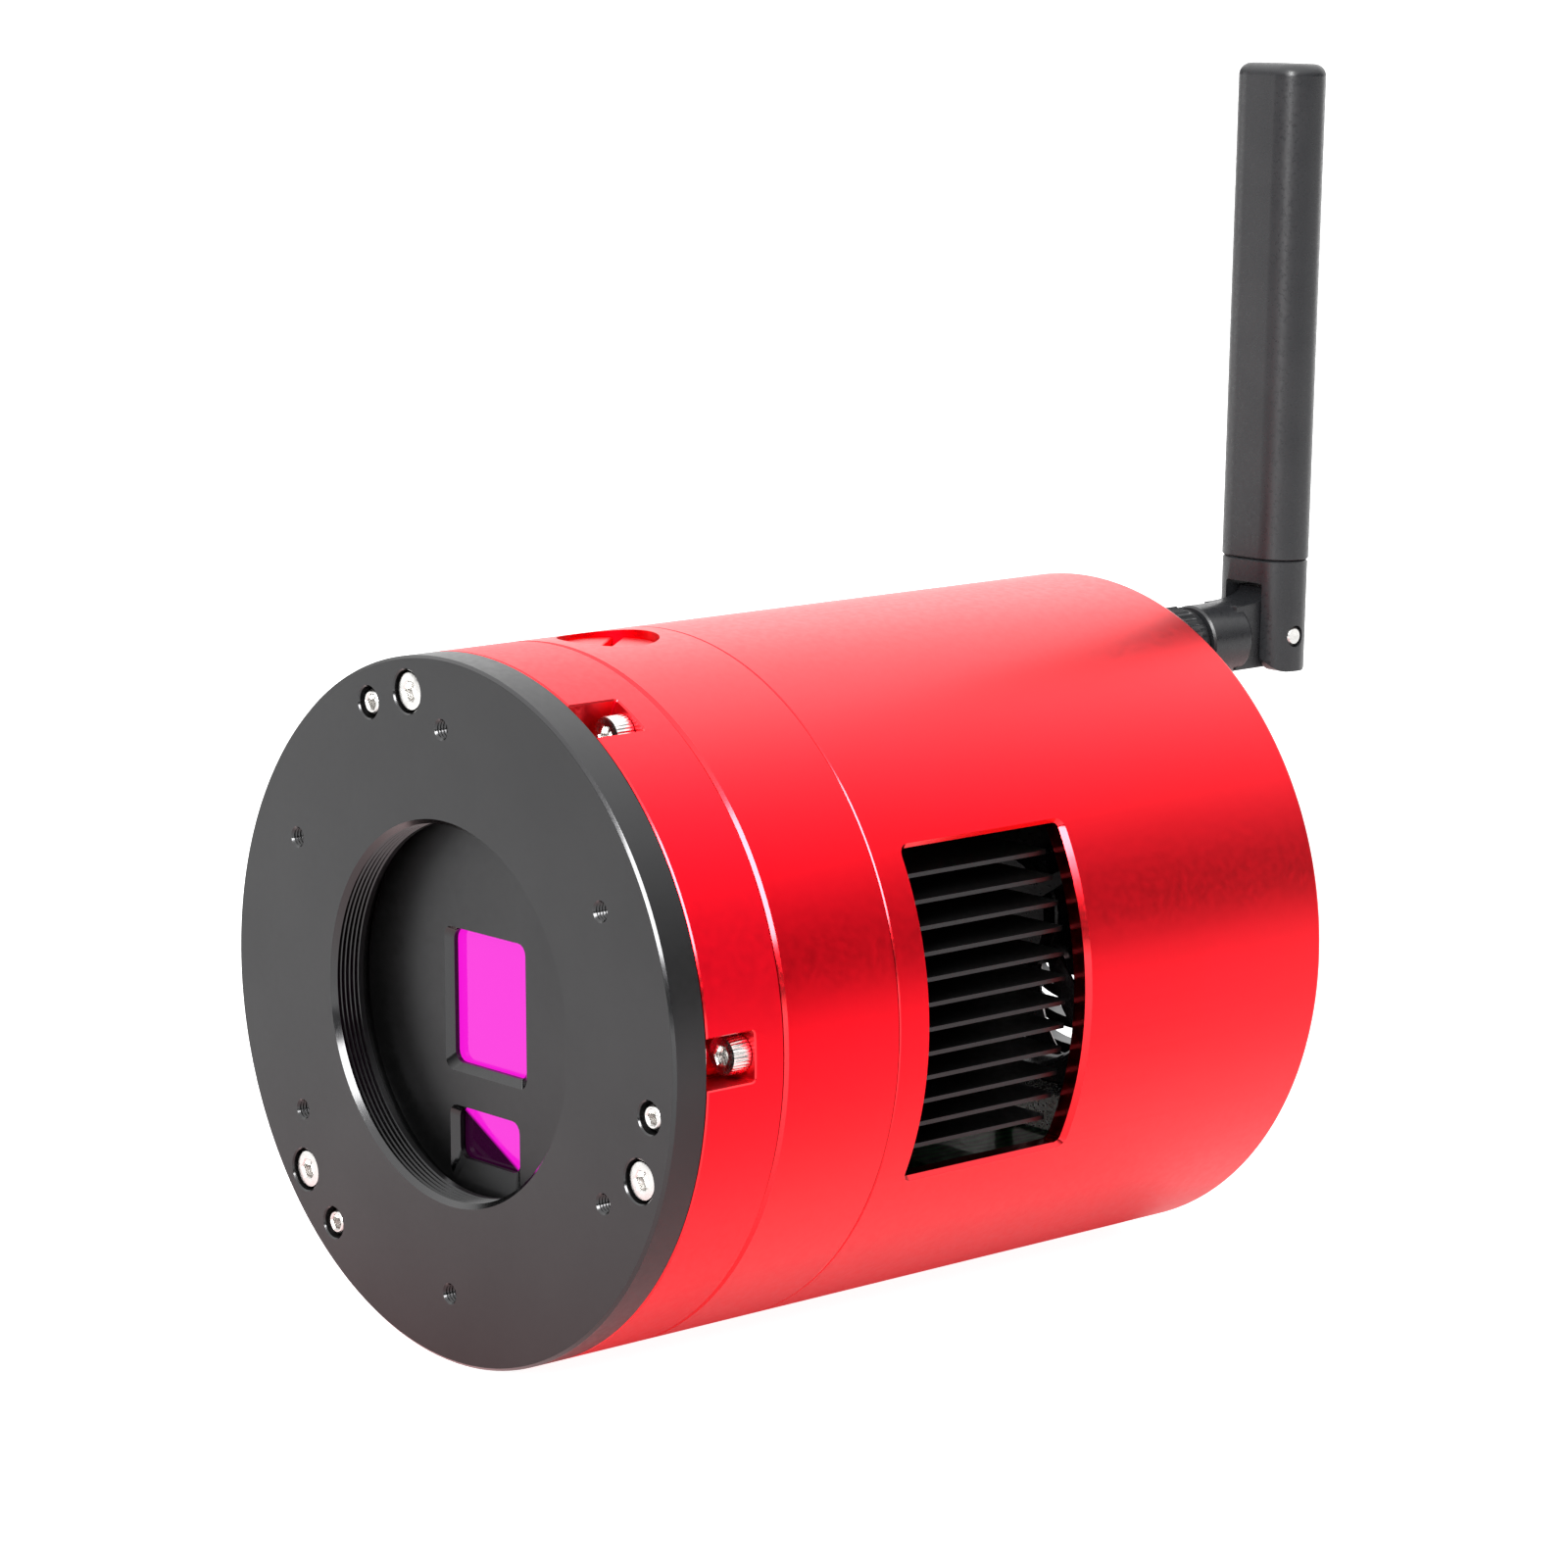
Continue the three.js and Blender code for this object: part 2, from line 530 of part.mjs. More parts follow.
function rearCover() {
  const { radius, front, rear } = REAR_COVER;
  const body = revolve([
    [0, front],
    [radius, front],
    [radius, rear],
    [REAR_PAD_RADIUS, rear],
    [REAR_PAD_RADIUS, BODY_LENGTH],
    [0, BODY_LENGTH],
  ]);
  const screwSpots = [
    ...COVER_SCREWS.angles.map((angle) => onCircle(COVER_SCREWS.circle, angle)),
    ...fanCorners,
  ];
  const seat = rear - REAR_HEAD_RECESS - REAR_SCREW.headHeight - 0.2;
  const portHole = ({ width, height }, spot) =>
    slab(spot, width + 2 * FIT_GAP, height + 2 * FIT_GAP, front - 1, rear + 1);
  return cut(body, [
    ...GRILLE.rings.map(grilleTool),
    ...screwSpots.map((spot) => rod(spot, REAR_HOLE_RADIUS, front - 1, rear + 1)),
    ...screwSpots.map((spot) => rod(spot, REAR_SCREW.headRadius + FIT_GAP, seat, rear + 1)),
    ...usbSpots.map((spot) => portHole(USB, spot)),
    portHole(USB_C, USB_C),
    rod(JACK, JACK.radius + FIT_GAP, front - 1, rear + 1, 20),
    rod(BUTTON, BUTTON.radius + FIT_GAP, front - 1, rear + 1, 16),
    rod(LIGHT_PIPE, LIGHT_PIPE.radius + FIT_GAP, front - 1, rear + 1, 10),
    rod(ANTENNA, CONNECTOR.radius + FIT_GAP, front - 1, rear + 1, 16),
  ]);
}

// ---- Antenna ----------------------------------------------------------------------------------
function antennaConnector() {
  const { radius, flange, front, rear } = CONNECTOR;
  const flangeRear = REAR_COVER.front - FIT_GAP;
  const profile = [
    [0, front],
    [flange, front],
    [flange, flangeRear],
    [radius, flangeRear],
    [radius, rear],
    [0, rear],
  ];
  return revolve(profile, 16).translate(ANTENNA.x, 0, ANTENNA.z);
}

function antennaNut() {
  const { front, rear, radius, bore, taper } = ANTENNA_NUT;
  const profile = [
    [bore, front],
    [radius - taper, front],
    [radius, front + taper],
    [radius, rear - taper],
    [radius - taper, rear],
    [bore, rear],
  ];
  return revolve(profile, 20).translate(ANTENNA.x, 0, ANTENNA.z);
}

// The knuckle's outline in depth and height, measured from the pivot. Its front sweeps up from
// the top of the barrel, and its rear end is round so that the fork can swing past it.
function knuckleOutline() {
  const { front, rise, tip, curve } = KNUCKLE;
  const start = ELBOW.rear - 2 - ANTENNA.pivotDepth;
  const barrelTop = ELBOW.radius - 0.3;
  const shape = new THREE.Shape();
  shape.moveTo(start, -tip);
  shape.lineTo(0, -tip);
  shape.absarc(0, 0, tip, -Math.PI / 2, 0);
  shape.lineTo(tip, rise - curve);
  shape.quadraticCurveTo(tip, rise, tip - curve, rise);
  shape.lineTo(-front, rise);
  shape.quadraticCurveTo(-front, barrelTop, start, barrelTop);
  return shape;
}

// The elbow runs straight back from the nut and ends in a flat knuckle that carries the pin.
function antennaElbow() {
  const { front, rear, radius } = ELBOW;
  const neckRadius = ANTENNA_NUT.bore - FIT_GAP;
  const barrel = revolve([
    [0, CONNECTOR.rear + FIT_GAP],
    [neckRadius, CONNECTOR.rear + FIT_GAP],
    [neckRadius, front],
    [radius, front],
    [radius, rear],
    [0, rear],
  ], 24).translate(ANTENNA.x, 0, ANTENNA.z);
  const { halfWidth } = KNUCKLE;
  const knuckle = pushedSideways(knuckleOutline(), -halfWidth, halfWidth)
    .translate(ANTENNA.x, ANTENNA.pivotDepth, ANTENNA.z);
  const { x, z, pivotDepth } = ANTENNA;
  const pinHole = crossRod(PIN.radius + FIT_GAP, -10, 10, 0, 0).translate(x, pivotDepth, z);
  return cut(join([barrel, knuckle]), [pinHole]);
}

// The antenna's oval section, wider across than it is deep.
function ovalSection(width, depth) {
  return roundedRectangle(width, depth, depth / 2 - 0.4);
}

// The fork, blade and pin are drawn about the pivot, with the blade pointing straight up.
function antennaFork() {
  const { width, depth, slot, ceiling, bottom, top, corner } = FORK;
  const options = { depth: top + bottom, bevelEnabled: false, curveSegments: 4 };
  const body = new THREE.ExtrudeGeometry(ovalSection(width, depth), options).translate(0, 0, -bottom);
  const sideHeight = top + bottom + corner;
  const side = pushedSideways(roundedRectangle(depth + 0.02, sideHeight, corner), -width, width)
    .translate(0, 0, sideHeight / 2 - bottom);
  const slotTool = block([-slot / 2, -depth, -bottom - 1], [slot / 2, depth, ceiling]);
  const pinHole = crossRod(PIN.radius + FIT_GAP / 2, -width, width, 0, 0);
  return cut(common(body, side), [slotTool, pinHole]);
}

function antennaBlade() {
  const { width, depth, top, tipRadius } = BLADE;
  const bottom = FORK.top + SEAM_GAP;
  return new THREE.ExtrudeGeometry(ovalSection(width, depth), {
    depth: top - bottom - 2 * tipRadius,
    bevelThickness: tipRadius,
    bevelSize: tipRadius,
    bevelOffset: -tipRadius,
    bevelSegments: 2,
    curveSegments: 4,
  }).translate(0, 0, bottom + tipRadius);
}

// ---- Assembly ---------------------------------------------------------------------------------
const {
  redAnodised, blackAnodised, blackPlastic, steel, copper, gold, sensorGlass,
  circuitBoard, rubber, polyimide, ceramic, foam, lightPipe,
} = FINISHES;

function placeTiltAdjuster() {
  place('tilt_plate', tiltPlate(), blackAnodised);
  pullSpots.forEach((spot, i) => {
    place(`tilt_pull_screw_${i + 1}`, capScrew(spot, PULL_HEAD_RECESS, PULL_SCREW_REACH), steel);
  });
  pushSpots.forEach((spot, i) => {
    place(`tilt_push_screw_${i + 1}`, grubScrew(spot, PULL_HEAD_RECESS), steel);
  });
}

function placeShells() {
  const headFront = POCKET.rear - CAP_SCREW.headHeight - SEAM_GAP;
  place('front_housing', frontHousing(), redAnodised);
  housingSpots.forEach((spot, i) => {
    place(`housing_screw_${i + 1}`, capScrew(spot, headFront, HOUSING_SCREW_REACH), steel);
  });
  place('mid_housing', midHousing(), redAnodised);
  place('desiccant_plug', desiccantPlug(), redAnodised);
  place('rear_tube', rearTube(), redAnodised);
}

function placeWindow() {
  const { inner, outer, rear } = WINDOW_GROOVE;
  place('sensor_mask', sensorMask(), blackAnodised);
  place('protective_window', disc(WINDOW.radius, WINDOW.front, WINDOW.rear), sensorGlass);
  const sealRear = rear - SEAL_GAP;
  const seal = ring(inner + SEAL_GAP, outer - SEAL_GAP, WINDOW.rear + SEAM_GAP, sealRear);
  place('window_oring', seal, rubber);
  const heater = ring(HEATER.inner, HEATER.outer, WINDOW.rear + SEAM_GAP, HEATER.rear, 24);
  place('dew_heater_ring', heater, polyimide);
}

function placeColdChamber() {
  const sensorRear = SENSOR_PLANE + IMAGE_SENSOR.thickness;
  const { width, height } = IMAGE_SENSOR;
  place('image_sensor', slab({}, width, height, SENSOR_PLANE, sensorRear), ceramic);
  const guideFront = sensorRear - GUIDE_SENSOR.thickness;
  const guide = slab(GUIDE_SENSOR, GUIDE_SENSOR.width, GUIDE_SENSOR.height, guideFront, sensorRear);
  place('guide_sensor', guide, ceramic);
  place('sensor_board', sensorBoard(), circuitBoard);
  for (const [name, part, material] of [
    ['cold_finger', COLD_FINGER, copper],
    ['tec_cold_stage', COLD_STAGE, ceramic],
    ['tec_hot_stage', HOT_STAGE, ceramic],
  ]) {
    place(name, slab({}, part.size, part.size, part.front, part.rear), material);
  }
  const { inner, outer, front, rear } = COLLAR;
  place('insulation_collar', ring(inner, outer, front, rear, 24), foam);
  const packFront = SENSOR_BOARD.rear + FIT_GAP;
  const pack = rod(DESICCANT, DESICCANT.radius, packFront, packFront + DESICCANT.height, 16);
  place('desiccant_pack', pack, foam);
  const sealFront = FRONT_HOUSING.rear - ORING.depth + SEAL_GAP;
  const seal = ring(ORING.inner + SEAL_GAP, ORING.outer - SEAL_GAP, sealFront, FRONT_HOUSING.rear);
  place('chamber_oring', seal, rubber);
  place('heat_sink', heatSink(), blackAnodised);
}

function placeElectronics() {
  place('main_board', boardAt(-1), circuitBoard);
  place('computer_board', boardAt(1), circuitBoard);
  const { inner, outer, front, rear, height } = RIBBON;
  const band = ring(inner, outer, front, rear);
  const side = block([-BODY_RADIUS, front - 1, -height / 2], [0, rear + 1, height / 2]);
  place('board_ribbon', common(band, side), polyimide);
  place('power_jack', powerJack(), blackPlastic);
  usbSpots.forEach((spot, i) => place(`usb_socket_${i + 1}`, socketShell(USB, spot), steel));
  place('usb_c_socket', socketShell(USB_C, USB_C), steel);
  const { front: switchFront, rear: switchRear, size, plunger, plungerRear } = SWITCH;
  place('button_switch', join([
    slab(BUTTON, size, size, switchFront, switchRear),
    rod(BUTTON, plunger, switchRear - 1, plungerRear, 12),
  ]), blackPlastic);
  const buttonFront = plungerRear + BUTTON.travel + FIT_GAP;
  const buttonRear = REAR_COVER.rear + BUTTON.proud;
  place('power_button', rod(BUTTON, BUTTON.radius, buttonFront, buttonRear, 16), blackPlastic);
  const pipe = rod(LIGHT_PIPE, LIGHT_PIPE.radius, SWITCH.front, REAR_COVER.rear + 0.2, 10);
  place('status_light_pipe', pipe, lightPipe);
}

function placeFanAndCover() {
  place('fan_frame', fanFrame(), blackPlastic);
  place('fan_rotor', fanRotor(), blackPlastic);
  place('fan_shaft', rod({}, FAN_SHAFT.radius, FAN_SHAFT.front, FAN_SHAFT.rear), steel);
  place('rear_cover', rearCover(), blackAnodised);
  const headRear = REAR_COVER.rear - REAR_HEAD_RECESS;
  fanCorners.forEach((spot, i) => {
    place(`fan_screw_${i + 1}`, rearScrew(spot, headRear, FAN_SCREW_REACH), steel);
  });
  COVER_SCREWS.angles.forEach((angle, i) => {
    const spot = onCircle(COVER_SCREWS.circle, angle);
    place(`cover_screw_${i + 1}`, rearScrew(spot, headRear, COVER_SCREW_REACH), steel);
  });
}

function placeAntenna() {
  place('antenna_connector', antennaConnector(), gold);
  place('antenna_nut', antennaNut(), blackPlastic);
  place('antenna_elbow', antennaElbow(), blackPlastic);
  const swing = new THREE.Group();
  swing.position.set(ANTENNA.x, ANTENNA.pivotDepth, ANTENNA.z);
  swing.rotation.x = -radians(ANTENNA.lean);
  assembly.add(swing);
  place('antenna_fork', antennaFork(), blackPlastic, swing);
  place('antenna_blade', antennaBlade(), blackPlastic, swing);
  const pin = crossRod(PIN.radius, -PIN.length / 2, PIN.length / 2, 0, 0);
  place('hinge_pin', pin, steel, swing);
}

placeTiltAdjuster();
placeShells();
placeWindow();
placeColdChamber();
placeElectronics();
placeFanAndCover();
placeAntenna();
assembly.position.y = -BODY_LENGTH;

export default assembly;
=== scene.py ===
"""Looks of the cooled astronomy camera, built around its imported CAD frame.

Shapes are worked out in millimetres in the CAD frame: Y is the optical axis (the camera looks
along -Y), X is across and Z is up. They become metres when a Blender mesh is made.
"""
import json
import math

import bmesh
import bpy
from mathutils import Matrix, Vector

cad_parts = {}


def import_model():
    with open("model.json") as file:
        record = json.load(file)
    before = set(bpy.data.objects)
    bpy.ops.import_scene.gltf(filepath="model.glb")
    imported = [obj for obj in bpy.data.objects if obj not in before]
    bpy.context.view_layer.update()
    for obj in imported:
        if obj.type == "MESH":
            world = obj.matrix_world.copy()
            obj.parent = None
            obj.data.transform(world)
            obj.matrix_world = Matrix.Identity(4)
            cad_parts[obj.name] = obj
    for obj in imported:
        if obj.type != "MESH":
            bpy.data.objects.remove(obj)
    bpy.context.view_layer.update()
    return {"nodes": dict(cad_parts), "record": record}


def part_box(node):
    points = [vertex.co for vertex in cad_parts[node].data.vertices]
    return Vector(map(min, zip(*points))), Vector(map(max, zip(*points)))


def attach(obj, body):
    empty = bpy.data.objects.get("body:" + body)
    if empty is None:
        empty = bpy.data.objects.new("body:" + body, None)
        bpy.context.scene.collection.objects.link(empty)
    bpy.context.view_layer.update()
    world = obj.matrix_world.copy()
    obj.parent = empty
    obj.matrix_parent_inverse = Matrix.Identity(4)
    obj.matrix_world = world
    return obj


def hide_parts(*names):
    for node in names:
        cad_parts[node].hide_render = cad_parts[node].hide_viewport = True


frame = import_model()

# ---- What the frame says ----
MM = 0.001
RECORD = frame["record"]
BODY_OF = {n: body for body, nodes in RECORD["behaviour"]["bodies"].items() for n in nodes}
SLOT_OF = {part["node"]: part["material_slot"] for part in RECORD["subparts"]}


class Box:
    """A CAD node's box in millimetres."""

    def __init__(self, node):
        low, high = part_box(node)
        self.low = low / MM
        self.high = high / MM
        self.middle = (self.low + self.high) / 2
        self.size = self.high - self.low


PLATE = Box("tilt_plate")
FRONT_RING = Box("front_housing")
MID_RING = Box("mid_housing")
TUBE = Box("rear_tube")
MASK = Box("sensor_mask")
WINDOW = Box("protective_window")
COVER = Box("rear_cover")
RADIUS = PLATE.high.x
FRONT = PLATE.low.y

# ---- Sizes of the fine detail, in millimetres ----
TURN_STEPS = 240  # sides of the large turned surfaces
OPENING_RADIUS = 26.6
OPENING_CHAMFER = 0.7
OPENING_THREAD = {"pitch": 0.75, "height": 0.46}
PLATE_CHAMFER = 0.35
TAPPED_HOLES = {"count": 6, "circle": 40, "radius": 1.25, "depth": 4.4, "first": 30}
COUNTERBORE = {"radius": 3.05, "depth": 3.8, "through": 1.8}
PUSH_HOLE_RADIUS = 2.25
SCREW_BORE = 1.6  # radius of the holes that the pull screws run in
TALL_HEAD = (3, 1.5, 1.44)  # height of a screw's head, radius of its shank and of its socket
FLAT_HEAD = (1.5, 1.25, 1.1)
SCREW_KNURLS = 36
GRUB_SOCKET = 1.15
HEX_DEPTH = 1.4
SEAM_CHAMFER = 0.45  # the deep groove between the front and the middle ring
FINE_CHAMFER = 0.15
RIM_CHAMFER = 0.9
CHAMBER = {"radius": 36, "cold_bore": 23.4, "back_wall": 5.1}
POCKET = {"count": 6, "first": 1, "floor": 43.4, "width": 7, "depth": 8.2, "corner": 0.5}
VENT = {"front": 45.7, "rear": 75.3, "bottom": -22.3, "top": 23.8, "corner": 0.8, "chamfer": 0.7}
TUBE_WALL = 3
SINK_FOOT = 32
FINS = {"count": 12, "pitch": 3.5, "thickness": 0.6, "radius": 45.6, "end": 75.6, "corner": 0.6}
APERTURES = (  # (width, height, x, z) of the throat and of the mouth in front of it
    ((16.4, 19.2, -0.9, 0.1), (18.6, 20.7, -0.9, -0.25)),
    ((13.8, 7.4, -1.4, -19.6), (16, 10.6, -1.4, -20.8)),
)
APERTURE_CORNER = 1.6
PLUG_SEAT = {"radius": 7.25, "bottom": 45.4, "bore": 5}
PLUG_SLOT = {"width": 1.6, "depth": 1.2, "angle": 50}
FAN = {"bore": 23.6, "flare": 1.2, "corner": 20, "screw_hole": 1.7, "hub": (1.4, 8.5),
       "bar": 1.6, "bar_width": 2.4, "bars": (30, 150, 270)}
ROTOR = {"hub": 9, "shaft": 1.15, "shaft_depth": 4, "rounding": 1.2}
BLADES = {"count": 11, "chord": (12.5, 12.8), "pitch": (34, 22), "sweep": 14, "camber": 0.9,
          "half_thickness": 0.5}
GRILLE = {"radii": (12, 16.2, 20.4), "width": 2.6, "arcs": 4, "rib": 3}
REAR_PAD = {"radius": 9, "height": 0.6}
COVER_SEAT = {"hole": 1.55, "wider": 1.25, "depth": 1.9}
SOCKETS = {  # corner, height and width of the tongue, corner of the opening in the cover
    "usb_socket_1": (0.7, 1.6, 10.5, 0.8),
    "usb_socket_2": (0.7, 1.6, 10.5, 0.8),
    "usb_c_socket": (1.6, 0.7, 6.7, 1.9),
}
SOCKET_WALL = 0.45
CONNECTOR = {"thread": 3.1, "ridge": 0.3, "pitch": 0.7, "socket": 2.3, "contact": 0.6, "depth": 3}
NUT = {"bore": 3.5, "lip": 0.4, "knurls": 30, "knurl_depth": 0.45}
ELBOW = {"rear": 141.6, "neck": 3.2, "rounding": 0.8, "pin_hole": 1.8}
PIN = {"radius": 1.5, "rounding": 0.35, "hole": 1.65, "reach": 10}  # reach: of the tool for its hole
KNUCKLE = {"half_width": 3.5, "front": 1.6, "rise": 7.1, "tip": 4.8, "curve": 4.2}
FORK = {"width": 14.1, "depth": 9.1, "slot": 7.6, "ceiling": 8.1, "bottom": 5.4, "top": 11.6,
        "corner": 3}
BLADE = {"width": 14.3, "depth": 9.4, "top": 86.8, "rounding": 1.9}
NOISE_RANGE = (0.3, 0.7)  # the values that a noise texture mostly has
GLANCE = (0.18, 0.5)  # where the clear layer of anodising starts to show and is full
# painted reflection of the window's coating: colour and strength of its emission glow
PAINTED_REFLECTION_COLOR = (1.0, 0.01, 0.75)
PAINTED_REFLECTION_GLOW = 0.9
ROOM_LIGHT = 2.5
ROOM_LEVELS = (  # (height of the direction, brightness)
    (0.0, 0.08), (0.16, 0.06), (0.34, 0.25), (0.56, 0.62), (0.72, 0.8), (1.0, 1.0),
)
FLOOR_GLOW = (0.45, 0.95)  # in reflections and to the camera
FLOOR_PAINTED_RED_LIGHT = (1.0, 0.1, 0.12)  # in reflections: painted red light from the body, emitted by the floor near it
FLOOR_PAINTED_RED_REACH = (0.12, 0.24)  # metres from the middle, where the painted red light starts to fade and is gone


# ---- Shapes: (points, faces) in millimetres ----
def merged(*shapes):
    """Several shapes as one."""
    points, faces = [], []
    for shape_points, shape_faces in shapes:
        start = len(points)
        points += shape_points
        faces += [[start + i for i in face] for face in shape_faces]
    return points, faces


def moved(shape, matrix):
    points, faces = shape
    return [matrix @ Vector(p) for p in points], faces


def loft(rings):
    """A closed body through rings of points, with flat ends."""
    count = len(rings[0])
    points = [Vector(p) for ring in rings for p in ring]
    faces = [list(range(count))[::-1]]
    for level in range(len(rings) - 1):
        a, b = level * count, (level + 1) * count
        for i in range(count):
            j = (i + 1) % count
            faces.append([a + i, a + j, b + j, b + i])
    last = (len(rings) - 1) * count
    faces.append(list(range(last, last + count)))
    return points, faces


def revolve(profile, steps=48, x=0.0, z=0.0, ripple=None):
    """A closed outline of (radius, y) turned about an axis along Y through x and z.

    ripple=(count, depth, front, rear) knurls the points between two y values.
    """
    points = []
    for step in range(steps):
        angle = 2 * math.pi * step / steps
        for radius, y in profile:
            if ripple and ripple[2] <= y <= ripple[3]:
                radius -= ripple[1] * (0.5 - 0.5 * math.cos(ripple[0] * angle))
            points.append(Vector((x + radius * math.cos(angle), y, z + radius * math.sin(angle))))
    count = len(profile)
    faces = []
    for step in range(steps):
        a, b = step * count, (step + 1) % steps * count
        for i in range(count):
            j = (i + 1) % count
            if profile[i][0] == 0 and profile[j][0] == 0:
                continue
            faces.append([a + i, a + j, b + j, b + i])
    return points, faces


def thread(crest, height, front, rear, pitch):
    """Profile points of a thread of fine rings between two y values, on the wall of radius crest."""
    turns = int((rear - front) / pitch)
    points = []
    for turn in range(turns):
        y = front + turn * pitch
        points += [(crest, y + 0.1 * pitch), (crest + height, y + 0.5 * pitch)]
        points += [(crest + height, y + 0.6 * pitch), (crest, y + pitch)]
    return points


def arc(radius, y, corner, start, end, steps=4):
    """Profile points round a corner whose middle is at (radius, y); angles in degrees."""
    angles = [math.radians(start + (end - start) * i / steps) for i in range(steps + 1)]
    return [(radius + corner * math.cos(a), y + corner * math.sin(a)) for a in angles]


def rounded_outline(width, height, corner, steps=4):
    """Points (u, v) round a rectangle with rounded corners."""
    points = []
    for quarter, (su, sv) in enumerate([(1, 1), (-1, 1), (-1, -1), (1, -1)]):
        u, v = su * (width / 2 - corner), sv * (height / 2 - corner)
        for i in range(steps + 1):
            angle = math.radians(90 * quarter + 90 * i / steps)
            points.append((u + corner * math.cos(angle), v + corner * math.sin(angle)))
    return points


AXES = {  # which way (u, v, level) point
    "y": lambda u, v, level: Vector((u, level, v)),
    "x": lambda u, v, level: Vector((level, u, v)),
    "z": lambda u, v, level: Vector((u, v, level)),
}


def rounded_prism(width, height, corner, levels, axis="y", middle=(0, 0), steps=4):
    """A rounded rectangle pushed along an axis. Each level is (position, how far it widens)."""
    rings = []
    for level, grow in levels:
        radius = max(corner + grow, 0.01)
        outline = rounded_outline(width + 2 * grow, height + 2 * grow, radius, steps)
        rings.append([AXES[axis](middle[0] + u, middle[1] + v, level) for u, v in outline])
    return loft(rings)


def slab(low, high, bevel=0.15):
    """A box with small bevels on its edges along Y."""
    width, height = high[0] - low[0], high[2] - low[2]
    middle = ((low[0] + high[0]) / 2, (low[2] + high[2]) / 2)
    levels = [(low[1], -bevel), (low[1] + bevel, 0), (high[1] - bevel, 0), (high[1], -bevel)]
    return rounded_prism(width, height, bevel * 1.5, levels, middle=middle, steps=2)


# ---- Blender meshes ----
def make(name, shape):
    """A Blender object from a shape, welded and with its faces pointing out."""
    points, faces = shape
    mesh = bpy.data.meshes.new(name)
    mesh.from_pydata([Vector(p) * MM for p in points], [], faces)
    obj = bpy.data.objects.new(name, mesh)
    bpy.context.scene.collection.objects.link(obj)
    tidy(obj)
    return obj


def tidy(obj, weld=1e-7):
    """Welds doubles, drops empty faces and turns all faces outwards."""
    work = bmesh.new()
    work.from_mesh(obj.data)
    bmesh.ops.remove_doubles(work, verts=work.verts, dist=weld)
    bmesh.ops.dissolve_degenerate(work, edges=work.edges, dist=weld)
    bmesh.ops.recalc_face_normals(work, faces=work.faces)
    work.to_mesh(obj.data)
    work.free()


def apply_modifiers(obj):
    bpy.context.view_layer.update()
    seen = obj.evaluated_get(bpy.context.evaluated_depsgraph_get())
    finished = bpy.data.meshes.new_from_object(seen)
    old = obj.data
    obj.modifiers.clear()
    obj.data = finished
    bpy.data.meshes.remove(old)


def boolean(obj, shape, operation="DIFFERENCE"):
    """Cuts a shape out of an object, or joins it on."""
    tool = make(obj.name + "_tool", shape)
    change = obj.modifiers.new("cut", "BOOLEAN")
    change.operation = operation
    change.solver = "EXACT"
    change.object = tool
    apply_modifiers(obj)
    mesh = tool.data
    bpy.data.objects.remove(tool)
    bpy.data.meshes.remove(mesh)
    return obj


def bevelled(obj, width, segments=2, angle=40):
    edge = obj.modifiers.new("bevel", "BEVEL")
    edge.width = width * MM
    edge.segments = segments
    edge.limit_method = "ANGLE"
    edge.angle_limit = math.radians(angle)
    edge.miter_outer = "MITER_ARC"
    apply_modifiers(obj)
    return obj


def bent_ring(name, profile, tools):
    """A ring turned from a profile, with tools cut out of it while it is rolled out flat.

    The flat strip has u along X (arc length at the outer radius, from -90 to 270 degrees) and
    height above the outer radius along Z, so that openings keep even chamfers when it is rolled up.
    """
    rings = []
    for step in range(TURN_STEPS + 1):
        u = RADIUS * 2 * math.pi * (step / TURN_STEPS - 0.25)
        rings.append([(u, y, radius - RADIUS) for radius, y in profile])
    obj = make(name, loft(rings))
    boolean(obj, merged(*tools))
    work = bmesh.new()
    work.from_mesh(obj.data)
    middle, half = math.pi / 2 * RADIUS * MM, math.pi * RADIUS * MM - 1e-6
    ends = [f for f in work.faces if all(abs(v.co.x - middle) > half for v in f.verts)]
    bmesh.ops.delete(work, geom=ends, context="FACES_ONLY")
    for vert in work.verts:
        angle = vert.co.x / (RADIUS * MM)
        radius = RADIUS * MM + vert.co.z
        vert.co = Vector((radius * math.cos(angle), vert.co.y, radius * math.sin(angle)))
    work.to_mesh(obj.data)
    work.free()
    tidy(obj, weld=2e-7)
    return obj


def divided(outline, pieces):
    """Splits the long sides of an outline in pieces, so that walls built on it can be bent."""
    points = []
    widest = max(u for u, _ in outline) - min(u for u, _ in outline)
    for (u0, v0), (u1, v1) in zip(outline, outline[1:] + outline[:1]):
        count = pieces if abs(u1 - u0) > widest / 2 else 1
        points += [(u0 + (u1 - u0) * i / count, v0 + (v1 - v0) * i / count) for i in range(count)]
    return points


def flat_tool(angle, across, along, corner, levels):
    """A tool for bent_ring with parallel walls, cutting towards the axis at an angle.

    across and along are (low, high) sideways and in y; levels are (radius, growth).
    """
    width, length = across[1] - across[0], along[1] - along[0]
    middle, y = sum(across) / 2, sum(along) / 2
    rings = []
    for radius, grow in levels:
        outline = rounded_outline(width + 2 * grow, length + 2 * grow, max(corner + grow, 0.01))
        rings.append([(RADIUS * (math.radians(angle) + math.asin((u + middle) / radius)),
                       y + v, radius - RADIUS) for u, v in divided(outline, math.ceil(width))])
    return loft(rings)


def publish(obj, *nodes, crease=32, material=None):
    """Gives a finished mesh its shading and its finish, and puts it in place of its CAD nodes."""
    for polygon in obj.data.polygons:
        polygon.use_smooth = True
    obj.data.set_sharp_from_angle(angle=math.radians(crease))
    even = obj.modifiers.new("even_normals", "WEIGHTED_NORMAL")
    even.keep_sharp = True
    slot = SLOT_OF[nodes[0]]
    obj.data.materials.clear()
    obj.data.materials.append(material or MATERIALS[slot])
    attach(obj, BODY_OF[nodes[0]])
    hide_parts(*nodes)
    return obj


